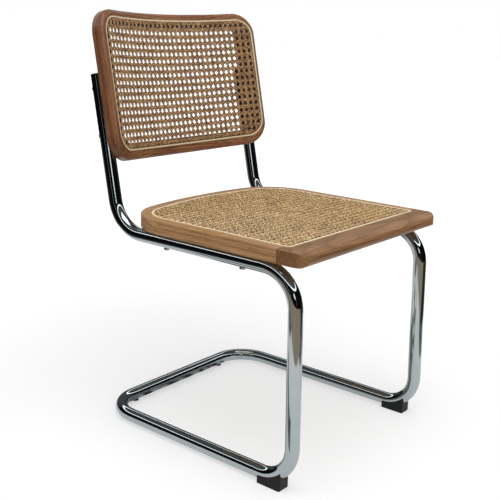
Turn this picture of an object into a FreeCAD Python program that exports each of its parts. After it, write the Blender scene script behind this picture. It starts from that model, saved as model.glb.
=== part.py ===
import FreeCAD, Part
import math
import os
import Sketcher

# Cantilever dining chair. One bent steel tube makes the floor loop, the front legs, the seat
# rails and the uprights. A wooden seat frame lies on the rails and a curved wooden back frame
# hangs on the uprights, each filled with woven cane held by a reed in a groove.
# Frame: the origin is on the floor under the middle of the chair, the front faces -Y, +Z is up.
# Left and right are as seen by someone who stands in front of the chair: left is -X.

doc = FreeCAD.newDocument("CantileverChair")

# Driving sizes, in millimetres and degrees.
SIZES = (
    ("tube_across", 25.4),
    ("tube_wall", 2.0),
    ("tube_spacing", 424.0),
    ("floor_gap", 3.0),
    ("rail_height", 385.0),
    ("leg_top_y", -250.9),
    ("leg_foot_y", -261.4),
    ("rear_tube_y", 196.4),
    ("upright_root_y", 162.6),
    ("upright_length", 295.6),
    ("back_lean", 12.2),
    ("upright_bend", 72.0),
    ("knee_bend", 67.0),
    ("foot_bend", 62.0),
    ("rear_bend", 70.0),
    ("loop_straight", 90.0),
    ("plug_flange", 3.0),
    ("plug_stem", 14.0),
    ("plug_clearance", 0.2),
    ("plug_edge", 1.2),
    ("seat_width", 460.0),
    ("seat_thick", 26.0),
    ("seat_rear_y", 161.0),
    ("seat_corner", 107.0),
    ("seat_bow", 838.0),
    ("seat_edge", 2.5),
    ("joint_y", -221.5),
    ("nose_y", -275.0),
    ("nose_round", 11.0),
    ("nose_waterfall", 34.0),
    ("nose_corner", 24.0),
    ("cane_thick", 1.0),
    ("reed_proud", 0.8),
    ("reed_edge", 1.0),
    ("groove_width", 5.6),
    ("groove_depth", 6.0),
    ("groove_play", 0.3),
    ("seat_groove_inset", 22.3),
    ("seat_groove_rear_inset", 21.8),
    ("seat_groove_front_inset", 43.1),
    ("seat_groove_corner", 72.0),
    ("seat_groove_bow", 704.0),
    ("seat_groove_front_corner", 8.0),
    ("seat_rim", 14.0),
    ("seat_mesh_pitch", 22.0),
    ("mesh_strand", 5.0),
    ("back_width", 456.4),
    ("back_height", 287.6),
    ("back_thick", 29.5),
    ("back_curve", 567.5),
    ("back_corner", 48.7),
    ("back_edge", 8.0),
    ("back_along", 271.7),
    ("back_seating", 1.8),
    ("back_groove_inset", 10.7),
    ("back_groove_top_inset", 12.75),
    ("back_groove_bottom_inset", 17.05),
    ("back_groove_corner", 38.0),
    ("back_rim", 15.5),
    ("back_mesh_pitch", 20.0),
    ("breadth_strands", 3),
    ("scallop_play", 1.0),
    ("screw_shank", 6.0),
    ("screw_play", 0.5),
    ("screw_head", 10.5),
    ("screw_head_high", 3.5),
    ("screw_head_round", 1.4),
    ("screw_socket", 4.0),
    ("screw_socket_deep", 2.0),
    ("insert_across", 9.0),
    ("insert_long", 12.0),
    ("seat_screw_front_y", -139.0),
    ("seat_screw_rear_y", 38.0),
    ("back_screw_high", 0.0),
    ("back_screw_low", -90.0),
    ("dowel_across", 8.0),
    ("dowel_long", 30.0),
    ("dowel_from_side", 11.0),
    ("dowel_spacing", 14.0),
    ("dowel_drop", 16.0),
    ("dowel_play", 0.1),
    ("dowel_chamfer", 0.8),
    ("foot_width", 28.0),
    ("foot_rear_y", -196.2),
    ("foot_front_y", -245.3),
    ("foot_below_axis", 3.0),
    ("foot_corner", 3.0),
    ("foot_screw_y", -214.0),
    ("foot_screw_shank", 3.5),
    ("foot_screw_head", 7.0),
    ("foot_screw_head_high", 1.4),
    ("foot_screw_recess", 0.6),
    ("foot_screw_reach", 8.0),
    ("glide_spacing", 266.0),
    ("glide_across", 14.0),
    ("glide_rise", 2.5),
    ("glide_round", 1.5),
)

# Sizes that follow from the driving ones.
WORKED = (
    ("tube_radius", "Sizes.tube_across / 2"),
    ("tube_bore", "Sizes.tube_across - 2 * Sizes.tube_wall"),
    ("side_x", "Sizes.tube_spacing / 2"),
    ("runner_z", "Sizes.floor_gap + tube_radius"),
    ("loop_y", "Sizes.rear_tube_y - Sizes.loop_straight"),
    ("lean_sine", "sin(Sizes.back_lean)"),
    ("lean_cosine", "cos(Sizes.back_lean)"),
    ("upright_top_y", "Sizes.upright_root_y + Sizes.upright_length * lean_sine"),
    ("upright_top_z", "Sizes.rail_height + Sizes.upright_length * lean_cosine"),
    ("plug_radius", "tube_bore / 2 - Sizes.plug_clearance / 2"),
    ("seat_bottom", "Sizes.rail_height + tube_radius"),
    ("seat_top", "seat_bottom + Sizes.seat_thick"),
    ("seat_half", "Sizes.seat_width / 2"),
    ("nose_y2", "Sizes.nose_y + Sizes.nose_round"),
    ("nose_z2", "seat_bottom + Sizes.nose_round"),
    ("nose_z1", "seat_top - Sizes.nose_waterfall"),
    ("nose_arm", "Sizes.nose_waterfall - Sizes.nose_round"),
    ("nose_y1", "nose_y2 + sqrt(nose_arm ^ 2 - (nose_z2 - nose_z1) ^ 2)"),
    ("nose_join_y", "nose_y1 + (nose_y2 - nose_y1) * Sizes.nose_waterfall / nose_arm"),
    ("nose_join_z", "nose_z1 + (nose_z2 - nose_z1) * Sizes.nose_waterfall / nose_arm"),
    ("nose_clear_y", "Sizes.nose_y - Sizes.nose_round"),
    ("nose_clear_high", "seat_top + Sizes.nose_round"),
    ("nose_clear_low", "seat_bottom - Sizes.nose_round"),
    ("groove_half", "seat_half - Sizes.seat_groove_inset"),
    ("groove_rear_y", "Sizes.seat_rear_y - Sizes.seat_groove_rear_inset"),
    ("groove_front_y", "Sizes.nose_y + Sizes.seat_groove_front_inset"),
    ("reed_width", "Sizes.groove_width - Sizes.cane_thick"),
    ("panel_half", "groove_half - reed_width"),
    ("panel_rear_y", "groove_rear_y - reed_width"),
    ("panel_front_y", "groove_front_y + reed_width"),
    ("panel_corner", "Sizes.seat_groove_corner - reed_width"),
    ("panel_bow", "Sizes.seat_groove_bow - reed_width"),
    ("panel_front_corner", "Sizes.seat_groove_front_corner - reed_width"),
    ("tongue_half", "groove_half - Sizes.groove_width"),
    ("tongue_rear_y", "groove_rear_y - Sizes.groove_width"),
    ("tongue_front_y", "groove_front_y + Sizes.groove_width"),
    ("tongue_corner", "Sizes.seat_groove_corner - Sizes.groove_width"),
    ("tongue_bow", "Sizes.seat_groove_bow - Sizes.groove_width"),
    ("tongue_front_corner", "Sizes.seat_groove_front_corner - Sizes.groove_width"),
    ("hole_half", "groove_half - Sizes.seat_rim"),
    ("hole_rear_y", "groove_rear_y - Sizes.seat_rim"),
    ("hole_corner", "Sizes.seat_groove_corner - Sizes.seat_rim"),
    ("hole_bow", "Sizes.seat_groove_bow - Sizes.seat_rim"),
    ("hole_front_y", "Sizes.joint_y - Sizes.seat_rim"),
    ("reed_deep", "Sizes.groove_depth - Sizes.groove_play"),
    ("reed_high", "reed_deep + Sizes.reed_proud"),
    ("reed_top", "seat_top + Sizes.reed_proud"),
    ("skirt_high", "reed_deep - Sizes.cane_thick"),
    ("breadth", "Sizes.back_mesh_pitch * Sizes.breadth_strands"),
    ("back_half", "Sizes.back_width / 2"),
    ("back_half_high", "Sizes.back_height / 2"),
    ("back_rear_curve", "Sizes.back_curve + Sizes.back_thick"),
    ("back_groove_top", "back_half_high - Sizes.back_groove_top_inset"),
    ("back_groove_bottom", "-back_half_high + Sizes.back_groove_bottom_inset"),
    ("back_groove_half", "back_half - Sizes.back_groove_inset"),
    ("back_panel_half", "back_groove_half - reed_width"),
    ("back_panel_top", "back_groove_top - reed_width"),
    ("back_panel_bottom", "back_groove_bottom + reed_width"),
    ("back_panel_corner", "Sizes.back_groove_corner - reed_width"),
    ("back_tongue_half", "back_groove_half - Sizes.groove_width"),
    ("back_tongue_top", "back_groove_top - Sizes.groove_width"),
    ("back_tongue_bottom", "back_groove_bottom + Sizes.groove_width"),
    ("back_tongue_corner", "Sizes.back_groove_corner - Sizes.groove_width"),
    ("back_hole_half", "back_groove_half - Sizes.back_rim"),
    ("back_hole_top", "back_groove_top - Sizes.back_rim"),
    ("back_hole_bottom", "back_groove_bottom + Sizes.back_rim"),
    ("back_hole_corner", "Sizes.back_groove_corner - Sizes.back_rim"),
    ("back_rear_at_side", "sqrt(back_rear_curve ^ 2 - side_x ^ 2) - Sizes.back_curve"),
    ("tube_local_y", "back_rear_at_side - Sizes.back_seating + tube_radius"),
    ("back_y", "Sizes.upright_root_y + Sizes.back_along * lean_sine - tube_local_y * lean_cosine"),
    ("back_z", "Sizes.rail_height + Sizes.back_along * lean_cosine + tube_local_y * lean_sine"),
    ("back_screw_high_along", "Sizes.back_along + Sizes.back_screw_high"),
    ("back_screw_low_along", "Sizes.back_along + Sizes.back_screw_low"),
    ("screw_hole", "Sizes.screw_shank + Sizes.screw_play"),
    ("screw_reach", "Sizes.tube_across + Sizes.insert_long"),
    ("dowel_half", "Sizes.dowel_long / 2"),
    ("dowel_outer_x", "seat_half - Sizes.dowel_from_side"),
    ("dowel_inner_x", "dowel_outer_x - Sizes.dowel_spacing"),
    ("dowel_z", "seat_top - Sizes.dowel_drop"),
    ("dowel_hole", "Sizes.dowel_across + Sizes.dowel_play"),
    ("dowel_hole_deep", "dowel_half + Sizes.dowel_play"),
    ("foot_cheek", "Sizes.foot_bend + Sizes.foot_below_axis"),
    ("glide_x", "Sizes.glide_spacing / 2"),
    ("glide_high", "Sizes.floor_gap + Sizes.glide_rise"),
    ("head_radius", "Sizes.screw_head / 2"),
    ("shank_radius", "Sizes.screw_shank / 2"),
    ("rail_bottom", "Sizes.rail_height - tube_radius"),
    ("screw_local_y", "tube_local_y + tube_radius"),
    ("insert_local_y", "tube_local_y - tube_radius"),
    ("back_screw_turn", "90 - Sizes.back_lean"),
    ("back_screw_high_y", "back_y + Sizes.back_screw_high * lean_sine + screw_local_y * lean_cosine"),
    ("back_screw_high_z", "back_z + Sizes.back_screw_high * lean_cosine - screw_local_y * lean_sine"),
    ("back_insert_high_y", "back_y + Sizes.back_screw_high * lean_sine + insert_local_y * lean_cosine"),
    ("back_insert_high_z", "back_z + Sizes.back_screw_high * lean_cosine - insert_local_y * lean_sine"),
    ("back_screw_low_y", "back_y + Sizes.back_screw_low * lean_sine + screw_local_y * lean_cosine"),
    ("back_screw_low_z", "back_z + Sizes.back_screw_low * lean_cosine - screw_local_y * lean_sine"),
    ("back_insert_low_y", "back_y + Sizes.back_screw_low * lean_sine + insert_local_y * lean_cosine"),
    ("back_insert_low_z", "back_z + Sizes.back_screw_low * lean_cosine - insert_local_y * lean_sine"),
    ("bend_centre_z", "runner_z + Sizes.foot_bend"),
    ("leg_slope", "(Sizes.leg_top_y - Sizes.leg_foot_y) / (Sizes.rail_height - runner_z)"),
    ("bend_centre_y", "Sizes.leg_foot_y + Sizes.foot_bend * (sqrt(1 + leg_slope ^ 2) + leg_slope)"),
    ("foot_rear_z", "bend_centre_z - sqrt(foot_cheek ^ 2 - (Sizes.foot_rear_y - bend_centre_y) ^ 2)"),
    ("foot_front_z", "bend_centre_z - sqrt(foot_cheek ^ 2 - (Sizes.foot_front_y - bend_centre_y) ^ 2)"),
    ("foot_head_radius", "Sizes.foot_screw_head / 2"),
    ("foot_shank_radius", "Sizes.foot_screw_shank / 2"),
    ("foot_screw_deep", "Sizes.foot_screw_recess + Sizes.foot_screw_head_high"),
    ("foot_screw_top", "foot_screw_deep + Sizes.foot_screw_reach"),
)


def make_sheet(label, rows):
    """Make a sheet with one named cell in each row."""
    sheet = doc.addObject("Spreadsheet::Sheet", label)
    for row, (alias, content) in enumerate(rows, start=1):
        sheet.set("A%d" % row, alias)
        text = "=" + content if isinstance(content, str) else str(content)
        sheet.set("B%d" % row, text)
        sheet.setAlias("B%d" % row, alias)
    return sheet


sizes = make_sheet("Sizes", SIZES)
worked = make_sheet("Worked", WORKED)
doc.recompute()
HOME = {alias: "Sizes" for alias, _ in SIZES}
HOME.update({alias: "Worked" for alias, _ in WORKED})


def ref(name):
    """The expression that reads a named size, with its sign."""
    sign = "-" if name.startswith("-") else ""
    bare = name.lstrip("-")
    return "%s%s.%s" % (sign, HOME[bare], bare)


def num(name):
    """The value of a named size, with its sign."""
    if name == "0":
        return 0.0
    bare = name.lstrip("-")
    value = float((sizes if HOME[bare] == "Sizes" else worked).get(bare))
    return -value if name.startswith("-") else value


# Sketch helpers. Every coordinate, radius and diameter is the name of a size.

def start_sketch(body, name, role, lift="0"):
    """Sketch on one of the body's own origin planes, lifted along its normal."""
    plane = next(item for item in body.Origin.OriginFeatures if item.Role == role)
    sketch = body.newObject("Sketcher::SketchObject", name)
    sketch.AttachmentSupport = [(plane, "")]
    sketch.MapMode = "FlatFace"
    if lift != "0":
        sketch.setExpression("AttachmentOffset.Base.z", ref(lift))
    return sketch


def bind(sketch, kind, *args):
    """Add a constraint whose last argument is a named size."""
    index = sketch.addConstraint(Sketcher.Constraint(kind, *args[:-1], num(args[-1])))
    sketch.setExpression("Constraints[%d]" % index, ref(args[-1]))


def place_point(sketch, geometry, position, x, y):
    """Hold a point at named distances from the sketch's origin."""
    for kind, value, axis in (("DistanceX", x, -2), ("DistanceY", y, -1)):
        if value == "0":
            sketch.addConstraint(Sketcher.Constraint("PointOnObject", geometry, position, axis))
        else:
            bind(sketch, kind, -1, 1, geometry, position, value)


def add_line(sketch, start, end):
    return sketch.addGeometry(Part.LineSegment(FreeCAD.Vector(*start, 0), FreeCAD.Vector(*end, 0)))


def add_arc(sketch, centre, radius, start, end):
    """Arc from start to end the short way round, and whether it runs backwards."""
    a0 = math.atan2(start[1] - centre[1], start[0] - centre[0])
    a1 = math.atan2(end[1] - centre[1], end[0] - centre[0])
    turn = (a1 - a0) % (2 * math.pi)
    backwards = turn > math.pi
    if backwards:
        a0, a1 = a1, a0
    circle = Part.Circle(FreeCAD.Vector(*centre, 0), FreeCAD.Vector(0, 0, 1), radius)
    return sketch.addGeometry(Part.ArcOfCircle(circle, a0, a1)), backwards


def add_circles(sketch, centres, across):
    """Circles of one named diameter at named centres."""
    for x, y in centres:
        centre = FreeCAD.Vector(num(x), num(y), 0)
        circle = Part.Circle(centre, FreeCAD.Vector(0, 0, 1), num(across) / 2)
        index = sketch.addGeometry(circle)
        place_point(sketch, index, 3, x, y)
        bind(sketch, "Diameter", index, across)


def join_tangent(sketch, first, first_end, second, second_end):
    sketch.addConstraint(Sketcher.Constraint("Tangent", first, first_end, second, second_end))


def bent_line(sketch, points, radii):
    """Open line through named points with a tangent arc at each inner one."""
    xy = [(num(x), num(y)) for x, y in points]
    count = len(points)
    cuts = [[xy[0], xy[0]]]
    centres = []
    for i in range(1, count - 1):
        radius = num(radii[i - 1])
        before = math.atan2(xy[i - 1][1] - xy[i][1], xy[i - 1][0] - xy[i][0])
        after = math.atan2(xy[i + 1][1] - xy[i][1], xy[i + 1][0] - xy[i][0])
        half = abs((after - before + math.pi) % (2 * math.pi) - math.pi) / 2
        back = radius / math.tan(half)
        near = (xy[i][0] + back * math.cos(before), xy[i][1] + back * math.sin(before))
        far = (xy[i][0] + back * math.cos(after), xy[i][1] + back * math.sin(after))
        middle = math.atan2(near[1] + far[1] - 2 * xy[i][1], near[0] + far[0] - 2 * xy[i][0])
        reach = radius / math.sin(half)
        centres.append((xy[i][0] + reach * math.cos(middle), xy[i][1] + reach * math.sin(middle)))
        cuts.append([near, far])
    cuts.append([xy[-1], xy[-1]])
    lines = [add_line(sketch, cuts[i][1], cuts[i + 1][0]) for i in range(count - 1)]
    for i in range(1, count - 1):
        arc, backwards = add_arc(sketch, centres[i - 1], num(radii[i - 1]), *cuts[i])
        entry, leave = (2, 1) if backwards else (1, 2)
        join_tangent(sketch, lines[i - 1], 2, arc, entry)
        join_tangent(sketch, arc, leave, lines[i], 1)
        bind(sketch, "Radius", arc, radii[i - 1])
        corner = sketch.addGeometry(Part.Point(FreeCAD.Vector(*xy[i], 0)), True)
        place_point(sketch, corner, 1, *points[i])
        for line in (lines[i - 1], lines[i]):
            sketch.addConstraint(Sketcher.Constraint("PointOnObject", corner, 1, line))
    place_point(sketch, lines[0], 1, *points[0])
    place_point(sketch, lines[-1], 2, *points[-1])


def rounded_box(sketch, half, bottom, top, corner):
    """Rectangle between named edges with four equal rounded corners."""
    w, low, high, r = num(half), num(bottom), num(top), num(corner)
    corners = ((w, low), (w, high), (-w, high), (-w, low))
    inner = ((w - r, low + r), (w - r, high - r), (-w + r, high - r), (-w + r, low + r))
    steps = ((0, 1), (-1, 0), (0, -1), (1, 0))
    lines = []
    for i in range(4):
        dx, dy = steps[i]
        x0, y0 = corners[i]
        x1, y1 = corners[(i + 1) % 4]
        lines.append(add_line(sketch, (x0 + r * dx, y0 + r * dy), (x1 - r * dx, y1 - r * dy)))
        kind = "Vertical" if dx == 0 else "Horizontal"
        sketch.addConstraint(Sketcher.Constraint(kind, lines[-1]))
    for i in range(4):
        dx, dy = steps[i]
        bx, by = steps[i - 1]
        x, y = corners[i]
        start = (x - r * bx, y - r * by)
        end = (x + r * dx, y + r * dy)
        arc, _ = add_arc(sketch, inner[i], r, start, end)
        join_tangent(sketch, lines[i - 1], 2, arc, 1)
        join_tangent(sketch, arc, 2, lines[i], 1)
        bind(sketch, "Radius", arc, corner)
    bind(sketch, "DistanceX", -1, 1, lines[0], 1, half)
    bind(sketch, "DistanceY", -1, 1, lines[1], 1, top)
    bind(sketch, "DistanceX", lines[2], 1, -1, 1, half)
    bind(sketch, "DistanceY", -1, 1, lines[3], 1, bottom)


def bowed_outline(sketch, half, rear, corner, bow, front, front_corner=None):
    """Seat outline: straight sides, rounded rear corners, a bowed rear, a straight front."""
    w, y_rear, r, big, y_front = num(half), num(rear), num(corner), num(bow), num(front)
    bow_y = y_rear - big
    corner_y = bow_y + math.sqrt((big - r) ** 2 - (w - r) ** 2)
    reach = big / (big - r)
    touch = ((w - r) * reach, bow_y + (corner_y - bow_y) * reach)
    small = num(front_corner) if front_corner else 0.0
    right = add_line(sketch, (w, y_front + small), (w, corner_y))
    arc_r, _ = add_arc(sketch, (w - r, corner_y), r, (w, corner_y), touch)
    rear_arc, _ = add_arc(sketch, (0.0, bow_y), big, touch, (-touch[0], touch[1]))
    arc_l, _ = add_arc(sketch, (r - w, corner_y), r, (-touch[0], touch[1]), (-w, corner_y))
    left = add_line(sketch, (-w, corner_y), (-w, y_front + small))
    bottom = add_line(sketch, (-w + small, y_front), (w - small, y_front))
    join_tangent(sketch, right, 2, arc_r, 1)
    join_tangent(sketch, arc_r, 2, rear_arc, 1)
    join_tangent(sketch, rear_arc, 2, arc_l, 1)
    join_tangent(sketch, arc_l, 2, left, 1)
    if front_corner:
        low_l, _ = add_arc(sketch, (small - w, y_front + small), small,
                           (-w, y_front + small), (small - w, y_front))
        low_r, _ = add_arc(sketch, (w - small, y_front + small), small,
                           (w - small, y_front), (w, y_front + small))
        join_tangent(sketch, left, 2, low_l, 1)
        join_tangent(sketch, low_l, 2, bottom, 1)
        join_tangent(sketch, bottom, 2, low_r, 1)
        join_tangent(sketch, low_r, 2, right, 1)
        bind(sketch, "Radius", low_l, front_corner)
        bind(sketch, "Radius", low_r, front_corner)
    else:
        sketch.addConstraint(Sketcher.Constraint("Coincident", left, 2, bottom, 1))
        sketch.addConstraint(Sketcher.Constraint("Coincident", bottom, 2, right, 1))
    sketch.addConstraint(Sketcher.Constraint("Vertical", right))
    sketch.addConstraint(Sketcher.Constraint("Vertical", left))
    sketch.addConstraint(Sketcher.Constraint("Horizontal", bottom))
    bind(sketch, "DistanceX", -1, 1, right, 1, half)
    bind(sketch, "DistanceX", left, 1, -1, 1, half)
    bind(sketch, "DistanceY", -1, 1, bottom, 1, front)
    bind(sketch, "Radius", arc_r, corner)
    bind(sketch, "Radius", arc_l, corner)
    bind(sketch, "Radius", rear_arc, bow)
    sketch.addConstraint(Sketcher.Constraint("PointOnObject", rear_arc, 3, -2))
    apex = sketch.addGeometry(Part.Point(FreeCAD.Vector(0, y_rear, 0)), True)
    place_point(sketch, apex, 1, "0", rear)
    sketch.addConstraint(Sketcher.Constraint("PointOnObject", apex, 1, rear_arc))


def chain(sketch, points, arcs):
    """Closed chain through named points. arcs gives a named radius and centre for some steps."""
    xy = [(num(x), num(y)) for x, y in points]
    count = len(points)
    steps = []
    for i in range(count):
        start, end = xy[i], xy[(i + 1) % count]
        if i in arcs:
            radius, cx, cy = arcs[i]
            index, backwards = add_arc(sketch, (num(cx), num(cy)), num(radius), start, end)
            bind(sketch, "Radius", index, radius)
            steps.append((index, (2, 1) if backwards else (1, 2)))
        else:
            steps.append((add_line(sketch, start, end), (1, 2)))
    for i, (index, ends) in enumerate(steps):
        following, following_ends = steps[(i + 1) % count]
        sketch.addConstraint(Sketcher.Constraint(
            "Coincident", index, ends[1], following, following_ends[0]))
        place_point(sketch, index, ends[0], *points[i])


# Feature helpers.

def add_pad(body, sketch, length, both_ways=False, backwards=False):
    feature = body.newObject("PartDesign::Pad", sketch.Name + "_pad")
    feature.Profile = sketch
    feature.setExpression("Length", ref(length))
    feature.Midplane = both_ways
    feature.Reversed = backwards
    return feature


def add_pocket(body, sketch, length, both_ways=False, backwards=False):
    """Pocket that has to remove some of the body."""
    doc.recompute()
    before = body.Shape.Volume
    feature = body.newObject("PartDesign::Pocket", sketch.Name + "_pocket")
    feature.Profile = sketch
    feature.setExpression("Length", ref(length))
    feature.Midplane = both_ways
    feature.Reversed = backwards
    doc.recompute()
    if not body.Shape.Volume < before - 0.01:
        raise RuntimeError("%s removes nothing" % feature.Name)
    return feature


def add_fillet(body, pick, radius):
    """Round the edges of the body's tip for which pick is true."""
    doc.recompute()
    base = body.Tip
    names = ["Edge%d" % (i + 1) for i, edge in enumerate(base.Shape.Edges) if pick(edge)]
    if not names:
        raise RuntimeError("no edge to round on %s" % body.Name)
    feature = body.newObject("PartDesign::Fillet", base.Name + "_round")
    feature.Base = (base, names)
    feature.setExpression("Radius", ref(radius))
    doc.recompute()
    return feature


def new_body(name):
    body = doc.addObject("PartDesign::Body", name)
    body.Label = name
    return body


def put(piece, x="0", y="0", z="0", axis=None, angle=None):
    """Bind a piece's place, and its turn about one axis, to named sizes."""
    if axis:
        piece.Placement = FreeCAD.Placement(FreeCAD.Vector(), FreeCAD.Rotation(axis, num(angle)))
        piece.setExpression("Placement.Rotation.Angle", ref(angle))
    for letter, name in (("x", x), ("y", y), ("z", z)):
        if name != "0":
            piece.setExpression("Placement.Base.%s" % letter, ref(name))


LEAN_AXIS = FreeCAD.Vector(-1, 0, 0)
SIDES = (("left", "-"), ("right", ""))
nodes = []

# Tube frame: a side pipe mirrored to the other side, and the rear loop between them.
tube = new_body("tube_frame")
side_ring = start_sketch(tube, "side_ring", "XZ_Plane")
side_ring.setExpression("AttachmentOffset.Base.z", "-Worked.loop_y")
add_circles(side_ring, [("-side_x", "runner_z")], "tube_across")
add_circles(side_ring, [("-side_x", "runner_z")], "tube_bore")
side_path = start_sketch(tube, "side_path", "YZ_Plane", "-side_x")
bent_line(
    side_path,
    [("loop_y", "runner_z"), ("leg_foot_y", "runner_z"), ("leg_top_y", "rail_height"),
     ("upright_root_y", "rail_height"), ("upright_top_y", "upright_top_z")],
    ["foot_bend", "knee_bend", "upright_bend"],
)
doc.recompute()
side_pipe = tube.newObject("PartDesign::AdditivePipe", "side_pipe")
side_pipe.Profile = side_ring
side_pipe.Spine = (side_path, ["Edge%d" % (i + 1) for i in range(len(side_path.Shape.Edges))])
doc.recompute()
other_side = tube.newObject("PartDesign::Mirrored", "other_side")
other_side.Originals = [side_pipe]
mirror_plane = next(item for item in tube.Origin.OriginFeatures if item.Role == "YZ_Plane")
other_side.MirrorPlane = (mirror_plane, [""])
tube.Tip = other_side
doc.recompute()
rear_ring = start_sketch(tube, "rear_ring", "XZ_Plane")
rear_ring.setExpression("AttachmentOffset.Base.z", "-Worked.loop_y")
add_circles(rear_ring, [("-side_x", "runner_z")], "tube_across")
add_circles(rear_ring, [("-side_x", "runner_z")], "tube_bore")
rear_path = start_sketch(tube, "rear_path", "XY_Plane", "runner_z")
bent_line(
    rear_path,
    [("-side_x", "loop_y"), ("-side_x", "rear_tube_y"), ("side_x", "rear_tube_y"),
     ("side_x", "loop_y")],
    ["rear_bend", "rear_bend"],
)
doc.recompute()
rear_pipe = tube.newObject("PartDesign::AdditivePipe", "rear_pipe")
rear_pipe.Profile = rear_ring
rear_pipe.Spine = (rear_path, ["Edge%d" % (i + 1) for i in range(len(rear_path.Shape.Edges))])
doc.recompute()
rail_holes = start_sketch(tube, "rail_holes", "XY_Plane", "rail_height")
add_circles(
    rail_holes,
    [(sign + "side_x", y) for _, sign in SIDES for y in ("seat_screw_front_y", "seat_screw_rear_y")],
    "screw_hole",
)
add_pocket(tube, rail_holes, "screw_reach", both_ways=True)
upright_holes = start_sketch(tube, "upright_holes", "XZ_Plane")
upright_holes.AttachmentOffset = FreeCAD.Placement(
    FreeCAD.Vector(), FreeCAD.Rotation(LEAN_AXIS, num("back_lean")))
upright_holes.setExpression("AttachmentOffset.Rotation.Angle", ref("back_lean"))
upright_holes.setExpression("AttachmentOffset.Base.y", ref("rail_height"))
upright_holes.setExpression("AttachmentOffset.Base.z", ref("-upright_root_y"))
add_circles(
    upright_holes,
    [(sign + "side_x", along) for _, sign in SIDES
     for along in ("back_screw_high_along", "back_screw_low_along")],
    "screw_hole",
)
add_pocket(tube, upright_holes, "screw_reach", both_ways=True)
foot_holes = start_sketch(tube, "foot_holes", "XY_Plane", "runner_z")
add_circles(foot_holes, [(sign + "side_x", "foot_screw_y") for _, sign in SIDES],
            "foot_screw_shank")
add_pocket(tube, foot_holes, "runner_z")
nodes.append(tube)

# Plugs in the open ends of the uprights.
for side, sign in SIDES:
    plug = new_body("upper_plug_" + side)
    outline = start_sketch(plug, "plug_outline_" + side, "XZ_Plane")
    chain(
        outline,
        [("0", "-plug_stem"), ("plug_radius", "-plug_stem"), ("plug_radius", "0"),
         ("tube_radius", "0"), ("tube_radius", "plug_flange"), ("0", "plug_flange")],
        {},
    )
    spin = plug.newObject("PartDesign::Revolution", "plug_spin_" + side)
    spin.Profile = outline
    spin.ReferenceAxis = (outline, ["V_Axis"])
    spin.Angle = 360.0
    add_fillet(plug, lambda edge: edge.BoundBox.ZMin > num("plug_flange") - 0.01, "plug_edge")
    put(plug, sign + "side_x", "upright_top_y", "upright_top_z", LEAN_AXIS, "back_lean")
    nodes.append(plug)

# Seat frame: the bent rail makes both sides and the rear, the front rail closes it.


def cut_seat_groove(body, label):
    """Groove for cane and reed, and the step that the cane lies on."""
    groove = start_sketch(body, "groove_" + label, "XY_Plane", "seat_top")
    bowed_outline(groove, "groove_half", "groove_rear_y", "seat_groove_corner",
                  "seat_groove_bow", "groove_front_y", "seat_groove_front_corner")
    bowed_outline(groove, "tongue_half", "tongue_rear_y", "tongue_corner",
                  "tongue_bow", "tongue_front_y", "tongue_front_corner")
    add_pocket(body, groove, "groove_depth")
    step = start_sketch(body, "step_" + label, "XY_Plane", "seat_top")
    bowed_outline(step, "tongue_half", "tongue_rear_y", "tongue_corner",
                  "tongue_bow", "tongue_front_y", "tongue_front_corner")
    add_pocket(body, step, "cane_thick")


def drill_dowels(body, label, backwards):
    """Four dowel holes from the joint face."""
    holes = start_sketch(body, "dowel_holes_" + label, "XZ_Plane", "-joint_y")
    add_circles(holes, [(sign + x, "dowel_z") for _, sign in SIDES
                        for x in ("dowel_outer_x", "dowel_inner_x")], "dowel_hole")
    add_pocket(body, holes, "dowel_hole_deep", backwards=backwards)


bent_rail = new_body("seat_bent_rail")
board = start_sketch(bent_rail, "board", "XY_Plane", "seat_bottom")
bowed_outline(board, "seat_half", "seat_rear_y", "seat_corner", "seat_bow", "joint_y")
add_pad(bent_rail, board, "seat_thick")
add_fillet(
    bent_rail,
    lambda edge: edge.BoundBox.ZLength < 0.01 and edge.BoundBox.YMax > num("joint_y") + 1,
    "seat_edge",
)
well = start_sketch(bent_rail, "well", "XY_Plane", "seat_top")
bowed_outline(well, "hole_half", "hole_rear_y", "hole_corner", "hole_bow", "hole_front_y")
add_pocket(bent_rail, well, "seat_thick")
cut_seat_groove(bent_rail, "bent")
drill_dowels(bent_rail, "bent", False)
insert_holes = start_sketch(bent_rail, "insert_holes", "XY_Plane", "seat_bottom")
add_circles(
    insert_holes,
    [(sign + "side_x", y) for _, sign in SIDES for y in ("seat_screw_front_y", "seat_screw_rear_y")],
    "insert_across",
)
add_pocket(bent_rail, insert_holes, "insert_long", backwards=True)
nodes.append(bent_rail)

front_rail = new_body("seat_front_rail")
front_plan = start_sketch(front_rail, "front_plan", "XY_Plane", "seat_bottom")
chain(
    front_plan,
    [("-seat_half", "joint_y"), ("-seat_half", "nose_y"), ("seat_half", "nose_y"),
     ("seat_half", "joint_y")],
    {},
)
add_pad(front_rail, front_plan, "seat_thick")
add_fillet(
    front_rail,
    lambda edge: edge.BoundBox.ZLength > 1 and edge.BoundBox.YMax < num("nose_y") + 1,
    "nose_corner",
)
add_fillet(
    front_rail,
    lambda edge: edge.BoundBox.ZLength < 0.01 and edge.BoundBox.YMin < num("joint_y") - 1,
    "seat_edge",
)
nose = start_sketch(front_rail, "nose", "YZ_Plane")
chain(
    nose,
    [("nose_y1", "seat_top"), ("nose_join_y", "nose_join_z"), ("nose_y2", "seat_bottom"),
     ("nose_y2", "nose_clear_low"), ("nose_clear_y", "nose_clear_low"),
     ("nose_clear_y", "nose_clear_high"), ("nose_y1", "nose_clear_high")],
    {0: ("nose_waterfall", "nose_y1", "nose_z1"), 1: ("nose_round", "nose_y2", "nose_z2")},
)
add_pocket(front_rail, nose, "seat_width", both_ways=True)
cut_seat_groove(front_rail, "front")
drill_dowels(front_rail, "front", True)
nodes.append(front_rail)

# Seat cane: a holed face with a skirt turned down into the groove, and the reed beside it.


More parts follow.
